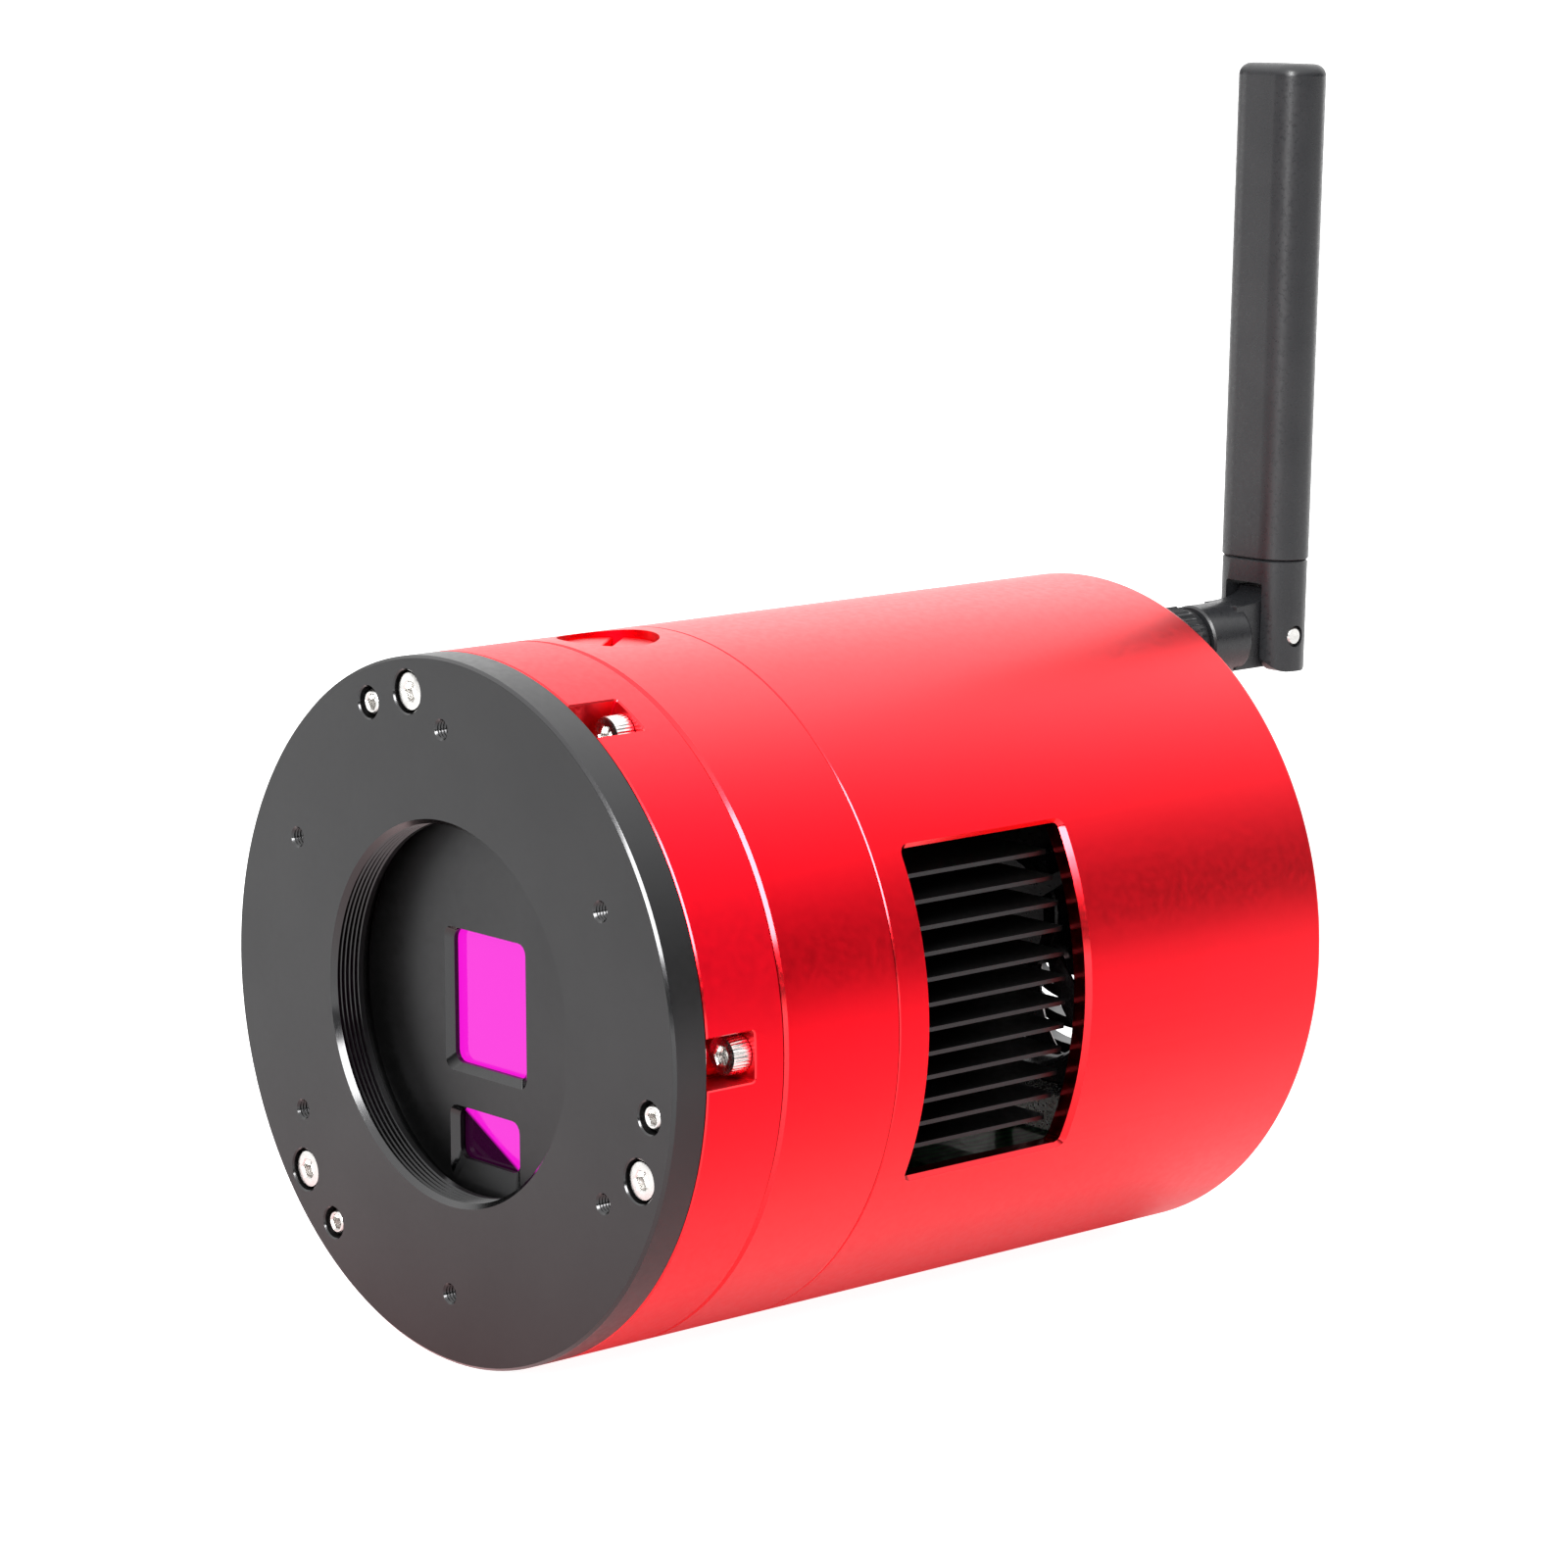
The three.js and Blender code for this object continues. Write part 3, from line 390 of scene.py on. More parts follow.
def sloped(polygon):
    """Whether a face of a turned piece is neither square to its axis nor along it."""
    return 0.3 < abs(polygon.normal.y) < 0.95


def tilt_outward(polygon):
    """1 for a face of a shell that looks straight out, 0 for a wall cut square through it."""
    outward = Vector((polygon.center.x, 0, polygon.center.z)).normalized()
    return polygon.normal.dot(outward)


def outer_edge(polygon):
    """Whether a face is part of a chamfer on the outside of a shell."""
    near_skin = polygon.center.xz.length > (RADIUS - 1.2) * MM
    return near_skin and 0.3 < tilt_outward(polygon) < 0.99


def cut_face(polygon):
    """Whether a face is a chamfer or a wall of an opening cut through a shell."""
    return -0.5 < tilt_outward(polygon) < 0.99


def edged(obj, finish, test):
    """Gives the faces that pass a test, which were cut last and left smooth, their own finish."""
    obj.data.materials.append(MATERIALS[finish])
    index = len(obj.data.materials) - 1
    for polygon in obj.data.polygons:
        if test(polygon):
            polygon.material_index = index
    return obj


# ---- Materials ----
def wired(tree, kind, inputs, **settings):
    """A shader node. inputs gives sockets, by name or number, a value or another node's output."""
    node = tree.nodes.new("ShaderNode" + kind)
    for key, value in settings.items():
        setattr(node, key, value)
    for key, value in inputs.items():
        if isinstance(value, bpy.types.NodeSocket):
            tree.links.new(value, node.inputs[key])
        else:
            node.inputs[key].default_value = value
    return node


class Finish:
    """A node material with a Principled surface and helpers for the textures that drive it."""

    def __init__(self, name, color, roughness, metallic=0.0, **settings):
        self.material = bpy.data.materials.new(name)
        self.material.use_nodes = True
        self.tree = self.material.node_tree
        self.surface = self.tree.nodes["Principled BSDF"]
        self.place = self.node("TexCoord", {}).outputs["Object"]
        self.color = color
        self.set("Base Color", (*color, 1))
        self.set("Roughness", roughness)
        self.set("Metallic", metallic)
        for key, value in settings.items():
            self.set(key.replace("_", " ").title().replace("Ior", "IOR"), value)

    def set(self, socket, value):
        """Gives the surface a value, or drives it with another node's output."""
        if isinstance(value, bpy.types.NodeSocket):
            self.tree.links.new(value, self.surface.inputs[socket])
        else:
            self.surface.inputs[socket].default_value = value

    def node(self, kind, inputs, **settings):
        return wired(self.tree, kind, inputs, **settings)

    def math(self, operation, a, b):
        return self.node("Math", {0: a, 1: b}, operation=operation).outputs["Value"]

    def noise(self, scale, detail):
        """A noise value; scale is in features per metre."""
        inputs = {"Vector": self.place, "Scale": scale, "Detail": detail}
        return self.node("TexNoise", inputs).outputs["Fac"]

    def wave(self, scale, direction, distortion):
        inputs = {"Vector": self.place, "Scale": scale, "Distortion": distortion}
        return self.node("TexWave", inputs, bands_direction=direction).outputs["Fac"]

    def ramp(self, value, low, high, start=0.0, stop=1.0, **settings):
        """start where the value is low or less, stop where it is high or more."""
        inputs = {"Value": value, "From Min": low, "From Max": high, "To Min": start, "To Max": stop}
        return self.node("MapRange", inputs, **settings).outputs["Result"]

    def spread(self, value, low=0.0, high=1.0):
        """Maps the usual range of a noise onto low to high."""
        return self.ramp(value, *NOISE_RANGE, low, high)

    def blend(self, value, color, other):
        """Mixes two colours by a value."""
        inputs = {"A": (*color, 1), "B": (*other, 1), "Factor": value}
        return self.node("Mix", inputs, data_type="RGBA").outputs["Result"]

    def vary_color(self, value, other):
        """Blends the base colour with another by a texture value."""
        self.set("Base Color", self.blend(value, self.color, other))

    def vary_roughness(self, value, low, high):
        self.set("Roughness", self.spread(value, low, high))

    def bump(self, value, depth, strength):
        """Bump from a texture value; depth is in metres."""
        inputs = {"Distance": depth, "Strength": strength, "Height": value}
        self.set("Normal", self.node("Bump", inputs).outputs["Normal"])


def anodised(name, color, other, roughness, sheen, **settings):
    """Anodised aluminium with slow changes of colour and gloss.

    sheen is the weight of the clear layer (seen square on, seen at a glancing angle).
    """
    finish = Finish(name, color, roughness, 1.0, **settings)
    facing = finish.node("LayerWeight", {"Blend": 0.5}).outputs["Facing"]
    finish.set("Coat Weight", finish.ramp(facing, *GLANCE, *sheen, interpolation_type="SMOOTHSTEP"))
    finish.vary_color(finish.spread(finish.noise(60, 3)), other)
    finish.vary_roughness(finish.noise(900, 2), roughness - 0.03, roughness + 0.05)
    return finish.material


def moulded(name, color, other, roughness, depth=0.000006):
    """Spark-eroded moulded plastic; depth is the relief of its grain in metres."""
    finish = Finish(name, color, roughness, specular_ior_level=0.42)
    finish.vary_color(finish.spread(finish.noise(120, 3)), other)
    finish.vary_roughness(finish.noise(1500, 3), roughness - 0.06, roughness + 0.08)
    finish.bump(finish.noise(3200, 3), depth, 0.6)
    return finish.material


def turned_metal(name, color, roughness):
    """Bright metal with fine turning marks along Y."""
    finish = Finish(name, color, roughness, 1.0)
    finish.vary_color(finish.spread(finish.noise(700, 3)), [c * 0.82 for c in color])
    finish.vary_roughness(finish.noise(2500, 3), roughness - 0.06, roughness + 0.12)
    finish.bump(finish.wave(3500, "Y", 1.5), 0.000006, 0.4)
    return finish.material


def coated_glass():
    """The window as its coating shows it: a painted magenta reflection, an even emission glow under a
    clear gloss.

    The lower left half of the small window gets no glow, a painted dark reflection of the ring's dark
    inside.
    """
    (width, height, x, z), edge = APERTURES[1][0], 0.0003
    finish = Finish("coated_glass", (0.012, 0.001, 0.01), 0.06, specular_ior_level=0.2)
    finish.vary_color(finish.spread(finish.noise(25, 2)), (0.018, 0.001, 0.014))
    finish.vary_roughness(finish.noise(400, 1), 0.04, 0.08)
    slope = Vector((height, 0, width)).normalized()
    offset = slope.dot(Vector((x - 0.5, 0, z - 0.5)) * MM)
    across = finish.node("VectorMath", {0: finish.place, 1: slope}, operation="DOT_PRODUCT")
    painted_glow_side = finish.ramp(across.outputs["Value"], offset - edge, offset + edge)
    border = (z + height) * MM
    upright = finish.node("SeparateXYZ", {"Vector": finish.place}).outputs["Z"]
    upper = finish.ramp(upright, border, border + edge)
    # the emission paints the coating's magenta reflection; where the mask is 0 the glass stays dark, a
    # painted reflection of the ring's dark inside
    finish.set("Emission Color", (*PAINTED_REFLECTION_COLOR, 1))
    finish.set("Emission Strength",
               finish.math("MULTIPLY", finish.math("MAXIMUM", painted_glow_side, upper), PAINTED_REFLECTION_GLOW))
    return finish.material


def circuit_board():
    """Green solder mask over copper tracks."""
    finish = Finish("circuit_board", (0.01, 0.12, 0.045), 0.4, coat_weight=0.4)
    tracks = finish.wave(160, "X", 6.0)
    finish.vary_color(tracks, (0.03, 0.24, 0.09))
    finish.vary_roughness(finish.noise(600, 2), 0.35, 0.5)
    finish.bump(tracks, 0.00005, 0.4)
    return finish.material


def foam():
    finish = Finish("foam", (0.035, 0.037, 0.042), 0.95)
    cells = finish.noise(1400, 4)
    finish.vary_color(finish.spread(cells), (0.08, 0.085, 0.09))
    finish.bump(cells, 0.0003, 0.9)
    return finish.material


MATERIALS = {
    "red_anodised": anodised(
        "red_anodised", (0.80, 0.001, 0.012), (0.77, 0.001, 0.010), 0.35, (0.03, 0.5),
        coat_roughness=0.38, coat_ior=1.55,
    ),
    "red_satin": anodised(
        "red_satin", (0.80, 0.001, 0.014), (0.77, 0.001, 0.012), 0.46, (0.05, 0.5),
        coat_roughness=0.4, coat_ior=1.5,
    ),
    "black_anodised": anodised(
        "black_anodised", (0.03, 0.03, 0.031), (0.025, 0.025, 0.026), 0.36, (0.3, 0.4),
        coat_roughness=0.4,
    ),
    "red_edge": anodised(
        "red_edge", (0.80, 0.004, 0.014), (0.77, 0.004, 0.012), 0.16, (0.7, 0.8),
        coat_roughness=0.12, coat_ior=1.5,
    ),
    "black_edge": anodised(
        "black_edge", (0.022, 0.022, 0.023), (0.018, 0.018, 0.019), 0.2, (0.8, 0.9),
        coat_roughness=0.14,
    ),
    "black_plastic": moulded(
        "black_plastic", (0.010, 0.0105, 0.012), (0.014, 0.0145, 0.016), 0.3, depth=0.000001,
    ),
    "steel": turned_metal("steel", (0.72, 0.71, 0.69), 0.22),
    "copper": turned_metal("copper", (0.72, 0.34, 0.18), 0.3),
    "gold": turned_metal("gold", (0.83, 0.6, 0.22), 0.2),
    "coated_glass": coated_glass(),
    "circuit_board": circuit_board(),
    "rubber": moulded("rubber", (0.012, 0.012, 0.012), (0.02, 0.02, 0.02), 0.7),
    "polyimide": moulded("polyimide", (0.45, 0.2, 0.035), (0.52, 0.26, 0.05), 0.35),
    "ceramic": moulded("ceramic", (0.78, 0.77, 0.73), (0.7, 0.69, 0.66), 0.55),
    "foam": foam(),
    "light_pipe": moulded("light_pipe", (0.72, 0.86, 0.77), (0.66, 0.8, 0.72), 0.25),
}


# ---- Tilt plate ----
def spots(count, first, circle):
    """Points (x, z) spread evenly on a circle about the optical axis."""
    angles = [math.radians(first + 360 * i / count) for i in range(count)]
    return [(circle * math.cos(a), circle * math.sin(a)) for a in angles]


def screw_spots(kind):
    return [Box(f"tilt_{kind}_screw_{i}").middle.xz for i in (1, 2, 3)]


def tapped_hole(x, z):
    radius, depth = TAPPED_HOLES["radius"], TAPPED_HOLES["depth"]
    mouth = 0.3
    wall = thread(radius, 0.22, FRONT + mouth, FRONT + depth - 0.4, 0.5)
    profile = [(0, FRONT - 1), (radius + mouth + 1, FRONT - 1), (radius, FRONT + mouth)]
    profile += wall + [(radius, FRONT + depth - 0.4), (0, FRONT + depth)]
    return revolve(profile, 32, x, z)


def stepped_hole(x, z, radius, depth, through):
    """A hole right through the plate, with a wider seat for a screw head."""
    mouth = 0.2
    back = PLATE.high.y + 1
    profile = [(0, FRONT - 1), (radius + mouth + 1, FRONT - 1), (radius, FRONT + mouth)]
    if depth:
        profile += [(radius, FRONT + depth), (through, FRONT + depth)]
    profile += [(through, back), (0, back)]
    return revolve(profile, 48, x, z)


def tilt_plate():
    front, back = FRONT, PLATE.high.y
    crest, pitch = OPENING_RADIUS, OPENING_THREAD["pitch"]
    start, stop = front + OPENING_CHAMFER, back - 0.6
    profile = [(crest + OPENING_CHAMFER, front)]
    profile += arc(RADIUS - PLATE_CHAMFER - 0.1, front + 0.1, 0.1, -90, -45, 2)
    profile += arc(RADIUS - 0.1, front + PLATE_CHAMFER + 0.1, 0.1, -45, 0, 2)
    profile += [(RADIUS, back - 0.25), (RADIUS - 0.25, back), (crest + 0.3, back), (crest, back - 0.3)]
    wall = thread(crest, OPENING_THREAD["height"], start, stop, pitch)
    obj = make("tilt_plate_body", revolve(profile + wall[::-1], TURN_STEPS))
    holes = TAPPED_HOLES
    tapped = [tapped_hole(x, z) for x, z in spots(holes["count"], holes["first"], holes["circle"])]
    seats = [stepped_hole(x, z, COUNTERBORE["radius"], COUNTERBORE["depth"], COUNTERBORE["through"])
             for x, z in screw_spots("pull")]
    pushed = [stepped_hole(x, z, PUSH_HOLE_RADIUS, 0, PUSH_HOLE_RADIUS)
              for x, z in screw_spots("push")]
    boolean(obj, merged(*tapped, *seats, *pushed))
    return edged(publish(obj, "tilt_plate"), "black_edge", sloped)


# ---- Screws ----
def hex_socket(top, radius, depth, facing):
    """A six-sided socket tool. facing is -1 for a head that looks to the front, 1 to the rear."""
    profile = [(0, top + facing), (radius + 1.2, top + facing), (radius, top - facing * 0.2)]
    profile += [(radius, top - facing * depth), (0, top - facing * (depth + 0.5))]
    return revolve(profile, 6)


def place_copies(model, nodes):
    """Puts a copy of a screw drawn on the Y axis in the place of each CAD screw."""
    for node in nodes:
        middle = Box(node).middle
        mesh = model.data.copy()
        mesh.transform(Matrix.Translation(Vector((middle.x, 0, middle.z)) * MM))
        obj = bpy.data.objects.new(node + "_detailed", mesh)
        bpy.context.scene.collection.objects.link(obj)
        publish(obj, node)
    bpy.data.objects.remove(model)


def cap_screws(nodes, head_height, shank, socket, facing, knurl=0):
    """Socket-head screws: an edged head, knurled if asked, with a hex socket, and a real thread."""
    box = Box(nodes[0])
    top, tip = (box.low.y, box.high.y) if facing < 0 else (box.high.y, box.low.y)
    head = max(box.size.x, box.size.z) / 2
    seat = top - facing * head_height
    profile = [(0, top), (head - 0.45, top), (head - 0.15, top - facing * 0.08)]
    profile += [(head, top - facing * 0.35), (head, seat + facing * 0.1), (head - 0.1, seat)]
    low, high = sorted((seat - facing * 0.6, tip + facing * 0.6))
    ridge = thread(shank - 0.25, 0.25, low, high, 0.5)
    profile += [(shank - 0.25, seat)] + (ridge if facing < 0 else ridge[::-1])
    profile += [(shank - 0.5, tip), (0, tip)]
    side = sorted((top - facing * 0.34, seat + facing * 0.05))
    ripple = (knurl, 0.12, *side) if knurl else None
    model = make("screw_model", revolve(profile, knurl * 4 or 64, ripple=ripple))
    boolean(model, hex_socket(top, socket, HEX_DEPTH, facing))
    place_copies(model, nodes)


def grub_screws(nodes):
    box = Box(nodes[0])
    top, tip = box.low.y, box.high.y
    radius = max(box.size.x, box.size.z) / 2
    ridge = thread(radius - 0.3, 0.3, top + 0.5, tip - 0.7, 0.7)
    profile = [(0, top), (radius - 0.5, top), (radius - 0.3, top + 0.2)] + ridge
    profile += [(radius - 0.3, tip - 0.6), (radius - 0.9, tip), (0, tip)]
    model = make("screw_model", revolve(profile, 64))
    boolean(model, hex_socket(top, GRUB_SOCKET, HEX_DEPTH, -1))
    place_copies(model, nodes)


def numbered(name, count):
    return [f"{name}_{i}" for i in range(1, count + 1)]


def screws():
    cap_screws(numbered("tilt_pull_screw", 3), *TALL_HEAD, -1, knurl=SCREW_KNURLS)
    grub_screws(numbered("tilt_push_screw", 3))
    cap_screws(numbered("housing_screw", POCKET["count"]), *TALL_HEAD, -1, knurl=SCREW_KNURLS)
    cap_screws(numbered("fan_screw", 4), *FLAT_HEAD, 1)
    cap_screws(numbered("cover_screw", 4), *FLAT_HEAD, 1)


# ---- Red shells ----
def pocket_tool(index):
    """A pocket that runs out of the front face; its outer edges are lightly chamfered."""
    angle = POCKET["first"] + 360 * (index - 1) / POCKET["count"]
    chamfer, half = 0.2, POCKET["width"] / 2
    front, back = FRONT_RING.low.y - 4, FRONT_RING.low.y + POCKET["depth"]
    levels = [(POCKET["floor"], -0.3), (POCKET["floor"] + 0.3, 0), (RADIUS - chamfer, 0),
              (RADIUS + 1, 1 + chamfer)]
    return flat_tool(angle, (-half, half), (front, back), POCKET["corner"], levels)


def front_housing():
    """The front ring with the pockets of its screws; the inside follows the CAD ring."""
    front, back = FRONT_RING.low.y, FRONT_RING.high.y
    mask_bore = MASK.high.x + 0.3
    window_bore = WINDOW.high.x + 0.3
    ledge = WINDOW.high.y + 0.3
    profile = [
        (mask_bore, front), (RADIUS - 0.2, front), (RADIUS, front + 0.2),
        (RADIUS, back - SEAM_CHAMFER), (RADIUS - SEAM_CHAMFER, back),
        (CHAMBER["radius"], back), (CHAMBER["radius"], ledge + 2),
        (window_bore - 4, ledge + 2), (window_bore - 4, ledge),
        (window_bore, ledge), (window_bore, MASK.high.y + 0.2), (mask_bore, MASK.high.y + 0.2),
    ]
    tools = [pocket_tool(i) for i in range(1, POCKET["count"] + 1)]
    shell = bent_ring("front_housing_shell", profile, tools)
    tip = Box("tilt_pull_screw_1").high.y
    boolean(shell, merged(*[through(x, z, SCREW_BORE, [(front - 1, 0), (tip + 0.5, 0)])
                            for x, z in screw_spots("pull")]))
    obj = publish(shell, "front_housing", material=MATERIALS["red_satin"])
    obj.data.materials.append(MATERIALS["black_anodised"])
    for polygon in obj.data.polygons:
        if polygon.center.xz.length < (mask_bore + 0.5) * MM:
            polygon.material_index = 1
    return edged(obj, "red_edge", outer_edge)


def mid_housing():
    """The middle ring, closed at the back but for the cold bore, with the seat of the plug on top."""
    front, back = MID_RING.low.y, MID_RING.high.y
    wall, cold_bore = back - CHAMBER["back_wall"], CHAMBER["cold_bore"]
    profile = [
        (CHAMBER["radius"], front), (RADIUS - SEAM_CHAMFER, front), (RADIUS, front + SEAM_CHAMFER),
        (RADIUS, back - FINE_CHAMFER), (RADIUS - FINE_CHAMFER, back),
        (cold_bore, back), (cold_bore, wall), (CHAMBER["radius"], wall),
    ]
    obj = make("mid_housing_shell", revolve(profile, TURN_STEPS))
    seat, floor_z, bore = PLUG_SEAT["radius"], PLUG_SEAT["bottom"], PLUG_SEAT["bore"]
    above, below = RADIUS + 5, CHAMBER["radius"] - 5
    boolean(obj, upright([(0, below), (bore, below), (bore, floor_z), (seat, floor_z),
                          (seat, above), (0, above)]))
    return edged(publish(obj, "mid_housing"), "red_edge", outer_edge)


def upright(profile, steps=72):
    """A profile of (radius, z) turned about the upright axis of the plug on top."""
    middle = Box("desiccant_plug").middle
    place = Matrix.Translation((middle.x, middle.y, 0)) @ Matrix.Rotation(math.pi / 2, 4, "X")
    return moved(revolve(profile, steps), place)


def desiccant_plug():
    """The sunk round plug on top of the middle ring, with a coin slot."""
    box = Box("desiccant_plug")
    rim, bottom, top, bevel = box.size.x / 2, box.low.z, box.high.z, 0.3
    obj = make("desiccant_plug_slotted", upright([(0, bottom), (rim, bottom), (rim, top - bevel),
                                                  (rim - bevel, top), (0, top)]))
    levels = [(top - PLUG_SLOT["depth"], 0), (top - 0.15, 0), (top + 1, 1.15)]
    slot = rounded_prism(3 * rim, PLUG_SLOT["width"], 0.2, levels, axis="z")
    turn = Matrix.Rotation(-math.radians(PLUG_SLOT["angle"]), 4, "Z")
    boolean(obj, moved(slot, Matrix.Translation((box.middle.x, box.middle.y, 0)) @ turn))
    return publish(obj, "desiccant_plug")


def rear_tube():
    front, back, inner = TUBE.low.y, TUBE.high.y, RADIUS - TUBE_WALL
    profile = [(inner, front), (RADIUS - FINE_CHAMFER, front), (RADIUS, front + FINE_CHAMFER)]
    profile += arc(RADIUS - 0.8, back - RIM_CHAMFER - 0.5, 0.8, 0, 45, 4)
    profile += [(RADIUS - RIM_CHAMFER - 0.3, back), (inner + 0.3, back), (inner, back - 0.3)]
    along = (FRONT + VENT["front"], FRONT + VENT["rear"])
    low, high = VENT["bottom"], VENT["top"]
    chamfer = VENT["chamfer"]
    levels = [(inner - 1, 0), (RADIUS - chamfer, 0), (RADIUS + 1, 1 + chamfer)]
    vents = [flat_tool(0, (low, high), along, VENT["corner"], levels),
             flat_tool(180, (-high, -low), along, VENT["corner"], levels)]
    obj = publish(bent_ring("rear_tube_shell", profile, vents), "rear_tube")
    return edged(obj, "red_edge", cut_face)


# ---- Mask and window ----
def sensor_mask():
    front, back, rim = MASK.low.y, MASK.high.y, MASK.high.x
    profile = [(0, front), (rim - 0.2, front), (rim, front + 0.2), (rim, back), (0, back)]
    obj = make("sensor_mask_detailed", revolve(profile, 144))
    for throat, mouth in APERTURES:
        rings = []
        for y, (width, height, x, z) in ((front - 1, mouth), (front, mouth), (front + 0.9, throat),
                                         (back + 1, throat)):
            outline = rounded_outline(width, height, APERTURE_CORNER)
            rings.append([(x + u, y, z + v) for u, v in outline])
        boolean(obj, loft(rings))
    return edged(publish(obj, "sensor_mask", crease=25), "black_edge", sloped)


def window():
    front, back, rim = WINDOW.low.y, WINDOW.high.y, WINDOW.high.x
    profile = [(0, front), (rim - 0.2, front), (rim, front + 0.2), (rim, back - 0.2)]
    profile += [(rim - 0.2, back), (0, back)]
    return publish(make("protective_window_glass", revolve(profile, 96)), "protective_window")


# ---- Heat sink ----
def heat_sink():
    """A round base, a square foot on its cold side and thin fins that stand on it."""
    box = Box("heat_sink")
    front, back, rim = TUBE.low.y + 0.2, TUBE.low.y + 4.3, box.high.x
    base = [(0, front), (rim - 0.3, front), (rim, front + 0.3)]
    base += [(rim, back - 0.3), (rim - 0.3, back), (0, back)]
    half = SINK_FOOT / 2
    shapes = [revolve(base, 144), slab((-half, box.low.y, -half), (half, front + 0.4, half), 0.3)]
    for i in range(FINS["count"]):
        z = (i - (FINS["count"] - 1) / 2) * FINS["pitch"]
        shapes.append(fin(z, back - 0.2, FRONT + FINS["end"]))
    return publish(make("heat_sink_fins", merged(*shapes)), "heat_sink")


def fin(z, front, back):
    """A thin level plate with its rear corners cut off."""
    corner, half = FINS["corner"], FINS["thickness"] / 2
    chord = math.sqrt(FINS["radius"] ** 2 - z ** 2)
    outline = [(-chord, front), (-chord, back - corner), (-chord + corner, back),
               (chord - corner, back), (chord, back - corner), (chord, front)]
    return loft([[(x, y, z + side) for x, y in outline] for side in (-half, half)])


# ---- Fan ----
def fan():
    box = Box("fan_frame")
    front, back, size = box.low.y, box.high.y, box.size.x
    bore, flare, bar = FAN["bore"], FAN["flare"], FAN["bar"]
    body = rounded_prism(size, size, 3, [(front, -0.3), (front + 0.3, 0), (back - 0.3, 0), (back, -0.3)])
    obj = make("fan_frame_detailed", body)
    throat = [(0, front - 1), (bore + flare, front - 1), (bore, front + flare), (bore, back - flare)]
    throat += [(bore + flare, back + 1), (0, back + 1)]
    boolean(obj, revolve(throat, 96))
    corners = [(x, z) for x in (-FAN["corner"], FAN["corner"]) for z in (-FAN["corner"], FAN["corner"])]
    boolean(obj, merged(*[through(x, z, FAN["screw_hole"], [(front - 1, 0), (back + 1, 0)], 24)
                          for x, z in corners]))
    inner, outer = FAN["hub"]
    hub = revolve([(inner, front), (outer, front), (outer, front + bar), (inner, front + bar)], 48)
    half = FAN["bar_width"] / 2
    for angle in FAN["bars"]:
        strut = slab((outer - 2.5, front, -half), (bore + 1, front + bar, half), 0.2)
        boolean(obj, moved(strut, Matrix.Rotation(-math.radians(angle), 4, "Y")), "UNION")
    boolean(obj, hub, "UNION")
    publish(obj, "fan_frame")
    fan_rotor(Box("fan_rotor"))


def fan_rotor(box):
    front, back, hub, shaft = box.low.y, box.high.y, ROTOR["hub"], ROTOR["shaft"]
    rounding, depth = ROTOR["rounding"], ROTOR["shaft_depth"]
    profile = [(shaft, front), (hub - 0.3, front), (hub, front + 0.3)]
    profile += arc(hub - rounding, back - rounding, rounding, 0, 90, 5)
    profile += [(0, back), (0, front + depth), (shaft, front + depth)]
    obj = make("fan_rotor_blades", revolve(profile, 96))
    tip = max(abs(box.low.x), box.high.x)
    for i in range(BLADES["count"]):
        turn = Matrix.Rotation(2 * math.pi * i / BLADES["count"], 4, "Y")
        boolean(obj, moved(blade_shape(hub - 1, tip, front + 0.3, back - 0.3), turn), "UNION")
    return publish(obj, "fan_rotor")


def mixed(ends, t):
    return ends[0] + (ends[1] - ends[0]) * t


def blade_shape(root, tip, front, back, steps=8, chord_steps=8):
    """One fan blade: a thin curved section that twists from root to tip and sweeps forwards."""
    rings = []
    middle = (front + back) / 2
    for i in range(steps + 1):
        t = i / steps
        radius = root + (tip - root) * t
        pitch = -math.radians(mixed(BLADES["pitch"], t))
        sweep = math.radians(BLADES["sweep"] * t * t)
        chord = mixed(BLADES["chord"], t)
        ring = []
        for side in (1, -1):
            for j in range(chord_steps + 1):
                s = (j / chord_steps - 0.5) * side
                fullness = 1 - 4 * s * s
                half = BLADES["half_thickness"] * math.sqrt(max(fullness, 0.02)) * side
                rise = BLADES["camber"] * fullness + half
                across = s * chord * math.cos(pitch) - rise * math.sin(pitch)
                along = s * chord * math.sin(pitch) + rise * math.cos(pitch)
                along = max(min(along, back - middle), front - middle)
                angle = across / radius + sweep
                ring.append((radius * math.cos(angle), middle + along, radius * math.sin(angle)))
        rings.append(ring)
    return loft(rings)


# ---- Rear cover and its sockets ----
def arc_slot(radius, width, middle, span, levels, steps=16, end_steps=6):
    """A curved slot with round ends. middle and span are angles in degrees."""
    centre_radius = radius + width / 2
    half = math.radians(span / 2) - width / 2 / centre_radius
    rings = []
    for level, grow in levels:
        reach = width / 2 + grow
        ring = []
        for side in (1, -1):
            edge = centre_radius + side * reach
            for j in range(steps + 1):
                angle = math.radians(middle) + side * half * (2 * j / steps - 1)
                ring.append((edge * math.cos(angle), level, edge * math.sin(angle)))
            end = math.radians(middle) + side * half
            cx, cz = centre_radius * math.cos(end), centre_radius * math.sin(end)
            start = end if side > 0 else end + math.pi
            for j in range(1, end_steps):
                turn = start + math.pi * j / end_steps
                ring.append((cx + reach * math.cos(turn), level, cz + reach * math.sin(turn)))
        rings.append(ring)
    return loft(rings)


def through(x, z, radius, levels, steps=40):
    """A round hole tool with levels of (y, growth)."""
    profile = [(0, levels[0][0])] + [(radius + grow, y) for y, grow in levels] + [(0, levels[-1][0])]
    return revolve(profile, steps, x, z)


